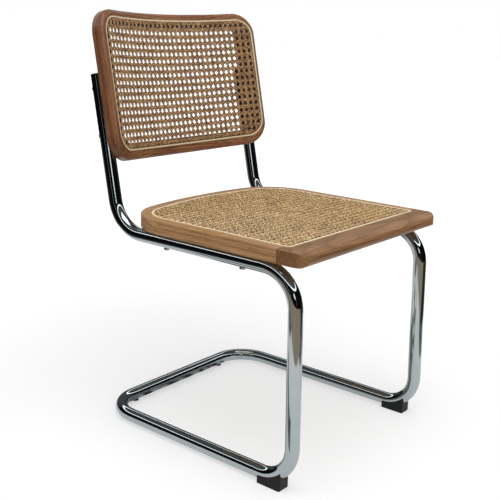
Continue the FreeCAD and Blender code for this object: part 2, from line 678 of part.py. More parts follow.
net_outline = doc.addObject("Sketcher::SketchObject", "seat_net_outline")
bowed_outline(net_outline, "panel_half", "panel_rear_y", "panel_corner",
              "panel_bow", "panel_front_y", "panel_front_corner")
skirt_outline = doc.addObject("Sketcher::SketchObject", "seat_skirt_outline")
bowed_outline(skirt_outline, "tongue_half", "tongue_rear_y", "tongue_corner",
              "tongue_bow", "tongue_front_y", "tongue_front_corner")
hole_outline = doc.addObject("Sketcher::SketchObject", "seat_hole_outline")
bowed_outline(hole_outline, "hole_half", "hole_rear_y", "hole_corner", "hole_bow", "joint_y")
doc.recompute()


def square_gaps(limit, pitch, strand):
    """Square gaps centred in the face limit, those that lie wholly inside it."""
    gap = pitch - strand
    box = limit.BoundBox
    middle = box.Center
    across = int(box.XLength / pitch / 2)
    along = int(box.YLength / pitch / 2)
    wires = []
    for i in range(-across, across + 1):
        for j in range(-along, along + 1):
            x = middle.x + i * pitch
            y = middle.y + j * pitch
            corners = [FreeCAD.Vector(x + sx * gap / 2, y + sy * gap / 2, 0)
                       for sx, sy in ((-1, -1), (1, -1), (1, 1), (-1, 1))]
            if all(limit.isInside(point, 0.01, True) for point in corners):
                wires.append(Part.makePolygon(corners + corners[:1]))
    return wires


def holed_face(wires):
    """Face inside the first wire with the others as holes."""
    return Part.makeFace(wires, "Part::FaceMakerBullseye")


seat_limit = Part.Face(hole_outline.Shape.Wires[0])
gaps = square_gaps(seat_limit, num("seat_mesh_pitch"), num("mesh_strand"))
print("seat net gaps", len(gaps))
net = holed_face([net_outline.Shape.Wires[0]] + gaps)
net = net.extrude(FreeCAD.Vector(0, 0, num("cane_thick")))
skirt = holed_face([net_outline.Shape.Wires[0], skirt_outline.Shape.Wires[0]])
skirt = skirt.extrude(FreeCAD.Vector(0, 0, num("skirt_high")))
net.translate(FreeCAD.Vector(0, 0, num("skirt_high")))
seat_cane = doc.addObject("Part::Feature", "seat_cane")
seat_cane.Shape = net.fuse(skirt)
seat_cane.Placement = FreeCAD.Placement(
    FreeCAD.Vector(0, 0, num("seat_top") - num("reed_deep")), FreeCAD.Rotation())
nodes.append(seat_cane)

seat_spline = new_body("seat_spline")
reed = start_sketch(seat_spline, "seat_reed", "XY_Plane", "reed_top")
bowed_outline(reed, "groove_half", "groove_rear_y", "seat_groove_corner",
              "seat_groove_bow", "groove_front_y", "seat_groove_front_corner")
bowed_outline(reed, "panel_half", "panel_rear_y", "panel_corner",
              "panel_bow", "panel_front_y", "panel_front_corner")
add_pad(seat_spline, reed, "reed_high", backwards=True)
add_fillet(seat_spline, lambda edge: edge.BoundBox.ZMin > num("reed_top") - 0.01, "reed_edge")
nodes.append(seat_spline)

# Back frame and what it carries, modelled upright about the middle of its front face, with
# the front face an arc about an upright axis, then leaned back as one.


def curved_shell(name, near, far):
    """Upright shell between two radii about the axis of the back's curve."""
    drums = []
    for label, radius in (("far", far), ("near", near)):
        drum = doc.addObject("Part::Cylinder", "%s_%s" % (name, label))
        drum.setExpression("Radius", radius)
        drum.setExpression("Height", "2 * Sizes.back_height")
        drum.setExpression("Placement.Base.y", "-Sizes.back_curve")
        drum.setExpression("Placement.Base.z", "-Sizes.back_height")
        drums.append(drum)
    shell = doc.addObject("Part::Cut", name)
    shell.Base, shell.Tool = drums
    return shell


def back_prism(name, outlines):
    """Prism along the depth with the shape between named rounded boxes."""
    body = doc.addObject("PartDesign::Body", name)
    sketch = start_sketch(body, name + "_sketch", "XZ_Plane")
    for outline in outlines:
        rounded_box(sketch, *outline)
    add_pad(body, sketch, "back_width", both_ways=True)
    return body


GROOVE = ("back_groove_half", "back_groove_bottom", "back_groove_top", "back_groove_corner")
PANEL = ("back_panel_half", "back_panel_bottom", "back_panel_top", "back_panel_corner")
TONGUE = ("back_tongue_half", "back_tongue_bottom", "back_tongue_top", "back_tongue_corner")
WELL = ("back_hole_half", "back_hole_bottom", "back_hole_top", "back_hole_corner")
FRAME = ("back_half", "-back_half_high", "back_half_high", "back_corner")


def common(name, base, tool):
    result = doc.addObject("Part::Common", name)
    result.Base, result.Tool = base, tool
    return result


def seat_on_uprights(piece, label):
    """Give a piece of the back its name and its lean."""
    piece.Label = label
    put(piece, "0", "back_y", "back_z", LEAN_AXIS, "back_lean")
    nodes.append(piece)


plain = common("back_plain", back_prism("back_board", [FRAME]),
               curved_shell("back_slab", "Sizes.back_curve", "Worked.back_rear_curve"))
doc.recompute()
rounded = doc.addObject("Part::Fillet", "back_rounded")
rounded.Base = plain


def on_outline(edge):
    """True for the edges round the front and rear faces, not those between two side faces."""
    return edge.BoundBox.ZLength < num("back_height") + 1 and not (
        edge.Curve.TypeId == "Part::GeomLine" and edge.BoundBox.YLength > 1)


rounded.Edges = [(i + 1, num("back_edge"), num("back_edge"))
                 for i, edge in enumerate(plain.Shape.Edges) if on_outline(edge)]
doc.recompute()

tools = [
    back_prism("back_well", [WELL]),
    common("back_groove", back_prism("back_groove_prism", [GROOVE, TONGUE]),
           curved_shell("back_groove_depth", "Sizes.back_curve - Sizes.back_edge",
                        "Sizes.back_curve + Sizes.groove_depth")),
    common("back_step", back_prism("back_step_prism", [TONGUE]),
           curved_shell("back_step_depth", "Sizes.back_curve - Sizes.back_edge",
                        "Sizes.back_curve + Sizes.cane_thick")),
]
for side, sign in SIDES:
    scallop = doc.addObject("Part::Cylinder", "scallop_" + side)
    scallop.setExpression("Radius", "Worked.tube_radius")
    scallop.setExpression("Height", "Sizes.back_height")
    scallop.setExpression("Placement.Base.x", ref(sign + "side_x"))
    scallop.setExpression("Placement.Base.y", "Worked.tube_local_y")
    scallop.setExpression(
        "Placement.Base.z",
        "Sizes.upright_length - Sizes.back_along + Sizes.plug_flange + Sizes.scallop_play"
        " - Sizes.back_height")
    tools.append(scallop)
    for level in ("high", "low"):
        hole = doc.addObject("Part::Cylinder", "back_insert_hole_%s_%s" % (side, level))
        hole.Placement.Rotation = FreeCAD.Rotation(FreeCAD.Vector(1, 0, 0), 90)
        hole.setExpression("Radius", "Sizes.insert_across / 2")
        hole.setExpression("Height", "Sizes.insert_long + Worked.tube_radius")
        hole.setExpression("Placement.Base.x", ref(sign + "side_x"))
        hole.setExpression("Placement.Base.y", "Worked.tube_local_y")
        hole.setExpression("Placement.Base.z", "Sizes.back_screw_" + level)
        tools.append(hole)
removed = doc.addObject("Part::MultiFuse", "back_removed")
removed.Shapes = tools
back_frame = doc.addObject("Part::Cut", "back_frame")
back_frame.Base, back_frame.Tool = rounded, removed
seat_on_uprights(back_frame, "back_frame")

back_limit_sketch = doc.addObject("Sketcher::SketchObject", "back_limit")
rounded_box(back_limit_sketch, *WELL)
back_panel_sketch = doc.addObject("Sketcher::SketchObject", "back_panel")
rounded_box(back_panel_sketch, *PANEL)
doc.recompute()
gaps = square_gaps(Part.Face(back_limit_sketch.Shape.Wires[0]), num("back_mesh_pitch"),
                   num("mesh_strand"))
print("back net gaps", len(gaps))
net = holed_face([back_panel_sketch.Shape.Wires[0]] + gaps)
net = net.extrude(FreeCAD.Vector(0, 0, num("back_width")))
net.translate(FreeCAD.Vector(0, 0, -num("back_width") / 2))
net.rotate(FreeCAD.Vector(), FreeCAD.Vector(1, 0, 0), 90)
back_net = doc.addObject("Part::Feature", "back_net")
back_net.Shape = net
sheet_shell = curved_shell("cane_sheet", "Sizes.back_curve", "Sizes.back_curve + Sizes.cane_thick")
skirt_shell = curved_shell("cane_skirt", "Sizes.back_curve + Sizes.cane_thick",
                           "Sizes.back_curve + Worked.reed_deep")
back_whole = doc.addObject("Part::Fuse", "back_cane_whole")
back_whole.Base = common("back_cane_sheet", back_net, sheet_shell)
back_whole.Tool = common("back_cane_skirt", back_prism("back_skirt_prism", [PANEL, TONGUE]),
                         skirt_shell)
# The cane is laid in upright breadths that meet along the middle of a strand.
last = max(1, int(num("back_panel_half") / num("breadth")))
breadths = []
for i in range(-last, last + 1):
    start = "(%d - 0.5) * Worked.breadth" % i
    length = "Worked.breadth"
    if i == -last:
        start = "(%d + 0.5) * Worked.breadth - Worked.back_half" % i
    if abs(i) == last:
        length = "Worked.back_half"
    block = doc.addObject("Part::Box", "breadth_block_%d" % (i + last))
    block.setExpression("Length", length)
    block.setExpression("Width", "Sizes.back_width")
    block.setExpression("Height", "Sizes.back_height")
    block.setExpression("Placement.Base.x", start)
    block.setExpression("Placement.Base.y", "-Worked.back_half")
    block.setExpression("Placement.Base.z", "-Worked.back_half_high")
    breadths.append(common("breadth_%d" % (i + last), back_whole, block))
back_cane = doc.addObject("Part::Compound", "back_cane")
back_cane.Links = breadths
seat_on_uprights(back_cane, "back_cane")

reed_shell = curved_shell("back_reed_shell", "Sizes.back_curve - Sizes.reed_proud",
                          "Sizes.back_curve + Worked.reed_deep")
back_spline = common("back_spline", back_prism("back_reed_prism", [GROOVE, PANEL]), reed_shell)
seat_on_uprights(back_spline, "back_spline")

# Screws and the sleeves that they turn into. Each is drawn about its own axis, pointing up,
# with the underside of the head at the origin.


def make_screw(name):
    screw = new_body(name)
    outline = start_sketch(screw, name + "_outline", "XZ_Plane")
    chain(
        outline,
        [("0", "-screw_head_high"), ("head_radius", "-screw_head_high"), ("head_radius", "0"),
         ("shank_radius", "0"), ("shank_radius", "screw_reach"), ("0", "screw_reach")],
        {},
    )
    spin = screw.newObject("PartDesign::Revolution", name + "_spin")
    spin.Profile = outline
    spin.ReferenceAxis = (outline, ["V_Axis"])
    spin.Angle = 360.0
    add_fillet(
        screw,
        lambda edge: edge.BoundBox.ZMax < -num("screw_head_high") + 0.01,
        "screw_head_round",
    )
    socket = start_sketch(screw, name + "_socket", "XY_Plane", "-screw_head_high")
    add_circles(socket, [("0", "0")], "screw_socket")
    add_pocket(screw, socket, "screw_socket_deep", backwards=True)
    nodes.append(screw)
    return screw


def make_insert(name):
    insert = new_body(name)
    ring = start_sketch(insert, name + "_ring", "XY_Plane")
    add_circles(ring, [("0", "0")], "insert_across")
    add_circles(ring, [("0", "0")], "screw_shank")
    add_pad(insert, ring, "insert_long")
    nodes.append(insert)
    return insert


for side, sign in SIDES:
    for level in ("front", "rear"):
        y = "seat_screw_%s_y" % level
        put(make_screw("seat_screw_%s_%s" % (side, level)), sign + "side_x", y, "rail_bottom")
        put(make_insert("seat_insert_%s_%s" % (side, level)), sign + "side_x", y, "seat_bottom")

for side, sign in SIDES:
    for level in ("high", "low"):
        for piece, maker in (("screw", make_screw), ("insert", make_insert)):
            item = maker("back_%s_%s_%s" % (piece, side, level))
            put(item, sign + "side_x", "back_%s_%s_y" % (piece, level),
                "back_%s_%s_z" % (piece, level), FreeCAD.Vector(1, 0, 0), "back_screw_turn")

# Dowels in the seat joints.
for side, sign in SIDES:
    for place in ("outer", "inner"):
        name = "seat_dowel_%s_%s" % (side, place)
        dowel = new_body(name)
        disc = start_sketch(dowel, name + "_disc", "XZ_Plane")
        add_circles(disc, [("0", "0")], "dowel_across")
        add_pad(dowel, disc, "dowel_long", both_ways=True)
        doc.recompute()
        rod = dowel.Tip
        rims = ["Edge%d" % (i + 1) for i, edge in enumerate(rod.Shape.Edges)
                if edge.BoundBox.YLength < 0.01]
        chamfer = dowel.newObject("PartDesign::Chamfer", name + "_chamfer")
        chamfer.Base = (rod, rims)
        chamfer.setExpression("Size", ref("dowel_chamfer"))
        put(dowel, sign + "dowel_%s_x" % place, "joint_y", "dowel_z")
        nodes.append(dowel)

# Front feet: blocks hollowed to the tube's bend, each with a screw up into the tube.
for side, sign in SIDES:
    name = "front_foot_" + side
    foot = new_body(name)
    cheek = start_sketch(foot, name + "_side", "YZ_Plane", sign + "side_x")
    chain(
        cheek,
        [("foot_rear_y", "0"), ("foot_rear_y", "foot_rear_z"), ("foot_front_y", "foot_front_z"),
         ("foot_front_y", "0")],
        {1: ("foot_cheek", "bend_centre_y", "bend_centre_z")},
    )
    add_pad(foot, cheek, "foot_width", both_ways=True)
    add_fillet(
        foot,
        lambda edge: edge.BoundBox.ZLength > 1 and edge.BoundBox.YLength < 0.01,
        "foot_corner",
    )
    bore_ring = start_sketch(foot, name + "_ring", "XZ_Plane")
    bore_ring.setExpression("AttachmentOffset.Base.z", "-Worked.loop_y")
    add_circles(bore_ring, [(sign + "side_x", "runner_z")], "tube_across")
    bore_path = start_sketch(foot, name + "_path", "YZ_Plane", sign + "side_x")
    bent_line(
        bore_path,
        [("loop_y", "runner_z"), ("leg_foot_y", "runner_z"), ("leg_top_y", "rail_height")],
        ["foot_bend"],
    )
    doc.recompute()
    saddle = foot.newObject("PartDesign::SubtractivePipe", name + "_saddle")
    saddle.Profile = bore_ring
    saddle.Spine = (bore_path,
                    ["Edge%d" % (i + 1) for i in range(len(bore_path.Shape.Edges))])
    doc.recompute()
    hole = start_sketch(foot, name + "_hole", "XY_Plane")
    add_circles(hole, [(sign + "side_x", "foot_screw_y")], "foot_screw_shank")
    add_pocket(foot, hole, "runner_z", backwards=True)
    recess = start_sketch(foot, name + "_recess", "XY_Plane")
    add_circles(recess, [(sign + "side_x", "foot_screw_y")], "foot_screw_head")
    add_pocket(foot, recess, "foot_screw_deep", backwards=True)
    nodes.append(foot)

    name = "foot_screw_" + side
    screw = new_body(name)
    outline = start_sketch(screw, name + "_outline", "XZ_Plane")
    chain(
        outline,
        [("0", "foot_screw_recess"), ("foot_head_radius", "foot_screw_recess"),
         ("foot_head_radius", "foot_screw_deep"), ("foot_shank_radius", "foot_screw_deep"),
         ("foot_shank_radius", "foot_screw_top"), ("0", "foot_screw_top")],
        {},
    )
    spin = screw.newObject("PartDesign::Revolution", name + "_spin")
    spin.Profile = outline
    spin.ReferenceAxis = (outline, ["V_Axis"])
    spin.Angle = 360.0
    put(screw, sign + "side_x", "foot_screw_y")
    nodes.append(screw)

# Rear glides: low domes that meet the underside of the rear floor tube.
for side, sign in SIDES:
    name = "rear_glide_" + side
    glide = new_body(name)
    disc = start_sketch(glide, name + "_disc", "XY_Plane")
    add_circles(disc, [(sign + "glide_x", "rear_tube_y")], "glide_across")
    add_pad(glide, disc, "glide_high")
    add_fillet(glide, lambda edge: edge.BoundBox.ZMax < 0.01, "glide_round")
    bore_ring = start_sketch(glide, name + "_ring", "YZ_Plane", sign + "glide_x")
    add_circles(bore_ring, [("rear_tube_y", "runner_z")], "tube_across")
    add_pocket(glide, bore_ring, "glide_across", both_ways=True)
    nodes.append(glide)

doc.recompute()
faults = []
for item in doc.Objects:
    if "Invalid" in item.State or "Error" in item.State:
        faults.append("%s %s" % (item.Name, item.State))
for node in nodes:
    if node.Shape.isNull() or not node.Shape.isValid():
        faults.append("%s has no valid shape" % node.Label)
if faults:
    raise RuntimeError("; ".join(faults))

os.makedirs("parts", exist_ok=True)
for node in nodes:
    print("%-26s solids %d volume %.1f" % (node.Label, len(node.Shape.Solids), node.Shape.Volume))
    node.Shape.exportStep("parts/%s.step" % node.Label)
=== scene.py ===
"""Cantilever dining chair: woven cane, finishes, floor, light and camera.

Lengths are in metres in the chair's own frame: the floor is z 0, the front faces -Y, and +X is
on the right of someone who stands in front of the chair.
"""

import logging
from dataclasses import dataclass
from enum import Enum
from math import atan2, hypot, pi, radians, sin, sqrt
from typing import Any, Callable, Sequence

import bmesh
import bpy
from mathutils import Matrix, Vector


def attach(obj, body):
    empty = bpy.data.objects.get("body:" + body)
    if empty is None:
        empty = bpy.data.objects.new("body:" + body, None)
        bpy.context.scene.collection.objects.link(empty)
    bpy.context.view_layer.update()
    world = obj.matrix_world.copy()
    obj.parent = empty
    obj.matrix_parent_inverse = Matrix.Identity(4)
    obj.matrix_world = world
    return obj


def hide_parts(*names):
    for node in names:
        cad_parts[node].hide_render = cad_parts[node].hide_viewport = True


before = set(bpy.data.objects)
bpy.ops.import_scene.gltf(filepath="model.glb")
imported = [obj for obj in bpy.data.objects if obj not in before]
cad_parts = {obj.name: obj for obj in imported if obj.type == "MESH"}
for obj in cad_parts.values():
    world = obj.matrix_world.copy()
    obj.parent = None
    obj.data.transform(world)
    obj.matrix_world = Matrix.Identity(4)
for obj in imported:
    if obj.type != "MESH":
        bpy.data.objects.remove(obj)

LOG = logging.getLogger("chair")

Colour = tuple[float, float, float, float]
Point = tuple[float, float, float]
Piece = bpy.types.Object
Socket = bpy.types.NodeSocket

# The back's own axes meet in the middle of its front face. It leans back, and its front is
# hollowed to a curve of this radius.
BACK_MIDDLE = (0.0, 0.21856, 0.65088)
BACK_LEAN = radians(12.2)
BACK_CURVE = 0.5675
SEAT_TOP = 0.4237

# The reed round each cane: its width, how far its outer edge lies inside the wood's outer edge,
# and where that outer edge runs.
REED_WIDE = 0.0046
SEAT_REED_INSET = 0.0223
SEAT_REED_HALF = 0.2077
SEAT_REED_FRONT = -0.2319
BACK_REED_INSET = 0.0107
BACK_REED_HALF = 0.2175
BACK_REED_LOW = -0.12675
BACK_REED_HIGH = 0.13105
BACK_REED_CORNER = 0.038

# The way over the floor from the camera to the chair, and the way to the camera's right.
AHEAD = (0.766, 0.643)
RIGHTWARD = (0.643, -0.766)


def tone(red: int, green: int, blue: int) -> Colour:
    """Turns a colour as a screen shows it into the linear values that shaders take."""
    parts = [value / 255.0 for value in (red, green, blue)]
    return (*[p / 12.92 if p <= 0.04045 else ((p + 0.055) / 1.055) ** 2.4 for p in parts], 1.0)


def grey(light: float) -> Colour:
    """Gives the grey of that much light."""
    return (light, light, light, 1.0)


def darker(colour: Colour, share: float) -> Colour:
    """Gives a colour with that share of its light."""
    return (*[part * share for part in colour[:3]], 1.0)


# Modelling helpers


def take(piece: Piece) -> None:
    """Makes one piece the active and only selected object.

    Args:
        piece: the object to select.
    """
    if bpy.context.mode != "OBJECT":
        bpy.ops.object.mode_set(mode="OBJECT")
    bpy.ops.object.select_all(action="DESELECT")
    piece.select_set(True)
    bpy.context.view_layer.objects.active = piece


def settle(piece: Piece) -> None:
    """Moves a piece's place, turn and size into its mesh."""
    take(piece)
    bpy.ops.object.transform_apply(location=True, rotation=True, scale=True)


def pick(piece: Piece, kind: str, test: Callable[[Any], bool]) -> None:
    """Selects the parts of a mesh in edit mode for which a test holds.

    Args:
        piece: the object that is in edit mode.
        kind: VERT, EDGE or FACE.
        test: gets each vertex, edge or face and says whether it is wanted.
    """
    bpy.ops.mesh.select_mode(type=kind)
    bpy.ops.mesh.select_all(action="DESELECT")
    mesh = bmesh.from_edit_mesh(piece.data)
    for part in {"VERT": mesh.verts, "EDGE": mesh.edges, "FACE": mesh.faces}[kind]:
        if test(part):
            part.select_set(True)
    bmesh.update_edit_mesh(piece.data)


def repeat(piece: Piece, count: int, step: Point, joined: bool = False) -> None:
    """Repeats a piece at even steps inside its own mesh.

    Args:
        piece: the object to repeat.
        count: how many there are in all.
        step: from one to the next.
        joined: whether the end of one meets the start of the next.
    """
    take(piece)
    array = piece.modifiers.new("repeat", "ARRAY")
    array.count = count
    array.use_relative_offset = False
    array.use_constant_offset = True
    array.constant_offset_displace = step
    array.use_merge_vertices = joined
    array.merge_threshold = 1e-5
    bpy.ops.object.modifier_apply(modifier=array.name)


def join(pieces: Sequence[Piece], name: str) -> Piece:
    """Joins pieces into the first of them.

    Args:
        pieces: the objects to join.
        name: the joined object's name.

    Returns:
        The joined object.
    """
    take(pieces[0])
    for piece in pieces[1:]:
        piece.select_set(True)
    if len(pieces) > 1:
        bpy.ops.object.join()
    pieces[0].name = name
    pieces[0].data.name = name
    return pieces[0]


# Finishes


class Recipe:
    """A material's nodes, laid one at a time round its main shader."""

    def __init__(self, name: str) -> None:
        """Starts a material of that name with its main shader alone."""
        self.material = bpy.data.materials.new(name)
        self.material.use_nodes = True
        self.tree = self.material.node_tree
        self.shader = self.tree.nodes["Principled BSDF"]

    def feed(self, socket: Socket, value: Any) -> None:
        """Links a socket to another node's output, or sets its value.

        Args:
            socket: the input.
            value: an output, or the value itself.
        """
        if isinstance(value, Socket):
            self.tree.links.new(value, socket)
        else:
            socket.default_value = value

    def coat(self, **values: Any) -> None:
        """Feeds the main shader's sockets, named with underscores for spaces."""
        for name, value in values.items():
            self.feed(self.shader.inputs[name.replace("_", " ")], value)

    def node(self, kind: str, inputs: Sequence[Any] = (), **settings: Any) -> bpy.types.Node:
        """Adds a node.

        Args:
            kind: the node's type without its ShaderNode prefix.
            inputs: values or sockets for its first inputs, None to leave one as it is.
            settings: the node's own properties.

        Returns:
            The node.
        """
        made = self.tree.nodes.new("ShaderNode" + kind)
        for name, value in settings.items():
            setattr(made, name, value)
        for socket, value in zip(made.inputs, inputs):
            if value is not None:
                self.feed(socket, value)
        return made

    def spot(self, middle: Point = (0, 0, 0), lean: float = 0.0) -> Socket:
        """Gives the place on the piece, measured from a middle and leaned back."""
        place = self.node("TexCoord").outputs["Object"]
        turned = self.node("Mapping", [place, middle, (-lean, 0.0, 0.0)], vector_type="TEXTURE")
        return turned.outputs[0]

    def maths(self, operation: str, first: Any, second: Any = 0.0) -> Socket:
        """Gives the result of one sum on numbers."""
        return self.node("Math", [first, second], operation=operation).outputs[0]

    def add(self, first: Any, second: Any) -> Socket:
        """Adds two numbers."""
        return self.maths("ADD", first, second)

    def less(self, first: Any, second: Any) -> Socket:
        """Takes the second number from the first."""
        return self.maths("SUBTRACT", first, second)

    def times(self, first: Any, second: Any) -> Socket:
        """Multiplies two numbers."""
        return self.maths("MULTIPLY", first, second)

    def size(self, value: Any) -> Socket:
        """Gives a number without its sign."""
        return self.maths("ABSOLUTE", value)

    def slant(self, first: Any, second: Any) -> Socket:
        """Gives the length of a line that goes so far one way and so far square to it."""
        return self.maths("SQRT", self.add(self.times(first, first), self.times(second, second)))

    def far(self) -> Socket:
        """Gives how far a place is from the middle of the floor."""
        return self.node("VectorMath", [self.spot()], operation="LENGTH").outputs["Value"]

    def split(self, place: Socket) -> list[Socket]:
        """Gives a place's three numbers."""
        return list(self.node("SeparateXYZ", [place]).outputs)

    def merge(self, *numbers: Any) -> Socket:
        """Gives the place with these three numbers."""
        return self.node("CombineXYZ", numbers).outputs[0]

    def stretch(self, place: Socket, scale: Point) -> Socket:
        """Gives a place scaled by a different number along each axis."""
        return self.node("VectorMath", [place, scale], operation="MULTIPLY").outputs[0]

    def noise(self, place: Socket, scale: float, detail: float = 3.0, rough: float = 0.5) -> Socket:
        """Gives a cloudy value between 0 and 1.

        Args:
            place: where on the piece it is read.
            scale: how often it changes in a metre.
            detail: how many finer clouds are laid over it.
            rough: how strong these are.

        Returns:
            The value.
        """
        cloud = self.node("TexNoise")
        for name, value in (("Vector", place), ("Scale", scale), ("Detail", detail),
                            ("Roughness", rough)):
            self.feed(cloud.inputs[name], value)
        return cloud.outputs["Fac"]

    def span(self, value: Any, low: float, high: float, to_low: float = 0.0,
             to_high: float = 1.0) -> Socket:
        """Carries a value from one range to another and holds it there."""
        return self.node("MapRange", [value, low, high, to_low, to_high]).outputs[0]

    def mix(self, share: Any, first: Any, second: Any) -> Socket:
        """Blends two colours.

        Args:
            share: how much of the second is taken, from 0 to 1.
            first: the first colour.
            second: the second colour.

        Returns:
            The blend.
        """
        made = self.node("Mix", data_type="RGBA")
        for index, value in ((0, share), (6, first), (7, second)):
            self.feed(made.inputs[index], value)
        return made.outputs[2]

    def ramp(self, value: Any, stops: Sequence[tuple[float, Colour]]) -> Socket:
        """Turns a value into a colour.

        Args:
            value: the value.
            stops: values in rising order, each with its colour.

        Returns:
            The colour.
        """
        made = self.node("ValToRGB", [value])
        bar = made.color_ramp.elements
        for element, (place, colour) in zip(bar, (stops[0], stops[-1])):
            element.position, element.color = place, colour
        for place, colour in stops[1:-1]:
            bar.new(place).color = colour
        return made.outputs["Color"]

    def raise_by(self, height: Socket, depth: float, strength: float = 1.0) -> None:
        """Gives the shader a relief.

        Args:
            height: the height, from 0 to 1.
            depth: how deep the relief is in metres.
            strength: how much of it shows.
        """
        bump = self.node("Bump")
        self.feed(bump.inputs["Strength"], strength)
        self.feed(bump.inputs["Distance"], depth)
        self.feed(bump.inputs["Height"], height)
        self.coat(Normal=bump.outputs[0])


def face_depth(recipe: Recipe, upright: bool) -> Socket:
    """Gives how far a place lies below the seat's top, or behind the back's hollow front.

    Args:
        recipe: the nodes to add to.
        upright: whether the piece is in the back.

    Returns:
        The depth, negative where the piece stands proud.
    """
    if not upright:
        return recipe.less(SEAT_TOP, recipe.split(recipe.spot())[2])
    x, y, _ = recipe.split(recipe.spot(BACK_MIDDLE, BACK_LEAN))
    return recipe.less(recipe.slant(x, recipe.add(y, BACK_CURVE)), BACK_CURVE)


def ring_distance(recipe: Recipe, across: Any, along: Any, half: float, high: float,
                  corner: float) -> Socket:
    """Gives the distance from a rounded box, negative inside it.

    Args:
        recipe: the nodes to add to.
        across: the place from side to side.
        along: the place up the box.
        half: half the box's width.
        high: half its height.
        corner: its corner radius.

    Returns:
        The distance.
    """
    reach = recipe.less(recipe.size(across), half - corner)
    depth = recipe.less(along, high - corner)
    bend = recipe.slant(*[recipe.maths("MAXIMUM", value, 0.0) for value in (reach, depth)])
    inside = recipe.maths("MINIMUM", recipe.maths("MAXIMUM", reach, depth), 0.0)
    return recipe.less(recipe.add(bend, inside), corner)


@dataclass(frozen=True)
class Plating:
    """Polished metal with a faint haze and fine wiping marks."""

    name: str
    colour: Colour
    haze: tuple[float, float] = (0.03, 0.09)
    depth: float = 0.000004

    def make(self) -> bpy.types.Material:
        """Builds the material."""
        recipe = Recipe(self.name)
        spot = recipe.spot()
        cloud = recipe.noise(spot, 14.0, 5.0, 0.6)
        marks = recipe.noise(recipe.stretch(spot, (1.0, 1.0, 0.3)), 420.0, 2.0)
        shade = recipe.mix(recipe.span(cloud, 0.35, 0.7), self.colour, darker(self.colour, 0.93))
        recipe.coat(Base_Color=shade, Metallic=1.0,
                    Roughness=recipe.span(cloud, 0.3, 0.75, *self.haze))
        recipe.raise_by(marks, self.depth, 0.4)
        return recipe.material


@dataclass(frozen=True)
class Moulding:
    """Black moulded plastic with a fine grain, scuffed a little paler in cloudy patches."""

    name: str
    colour: Colour
    scuffed: Colour

    def make(self) -> bpy.types.Material:
        """Builds the material."""
        recipe = Recipe(self.name)
        spot = recipe.spot()
        cloud = recipe.noise(spot, 60.0, 4.0, 0.6)
        pebble = recipe.noise(spot, 1500.0, 2.0)
        shade = recipe.mix(recipe.span(cloud, 0.5, 0.8, 0.0, 0.7), self.colour, self.scuffed)
        recipe.coat(Base_Color=shade, Roughness=recipe.span(cloud, 0.3, 0.7, 0.38, 0.55),
                    Specular_IOR_Level=0.25)
        recipe.raise_by(pebble, 0.00006, 0.5)
        return recipe.material


class Grain(Enum):
    """How a piece's fibres run."""

    ACROSS = "straight from side to side"
    ROUND_SEAT = "round the seat's bend"
    ROUND_BACK = "round the ring of the back"


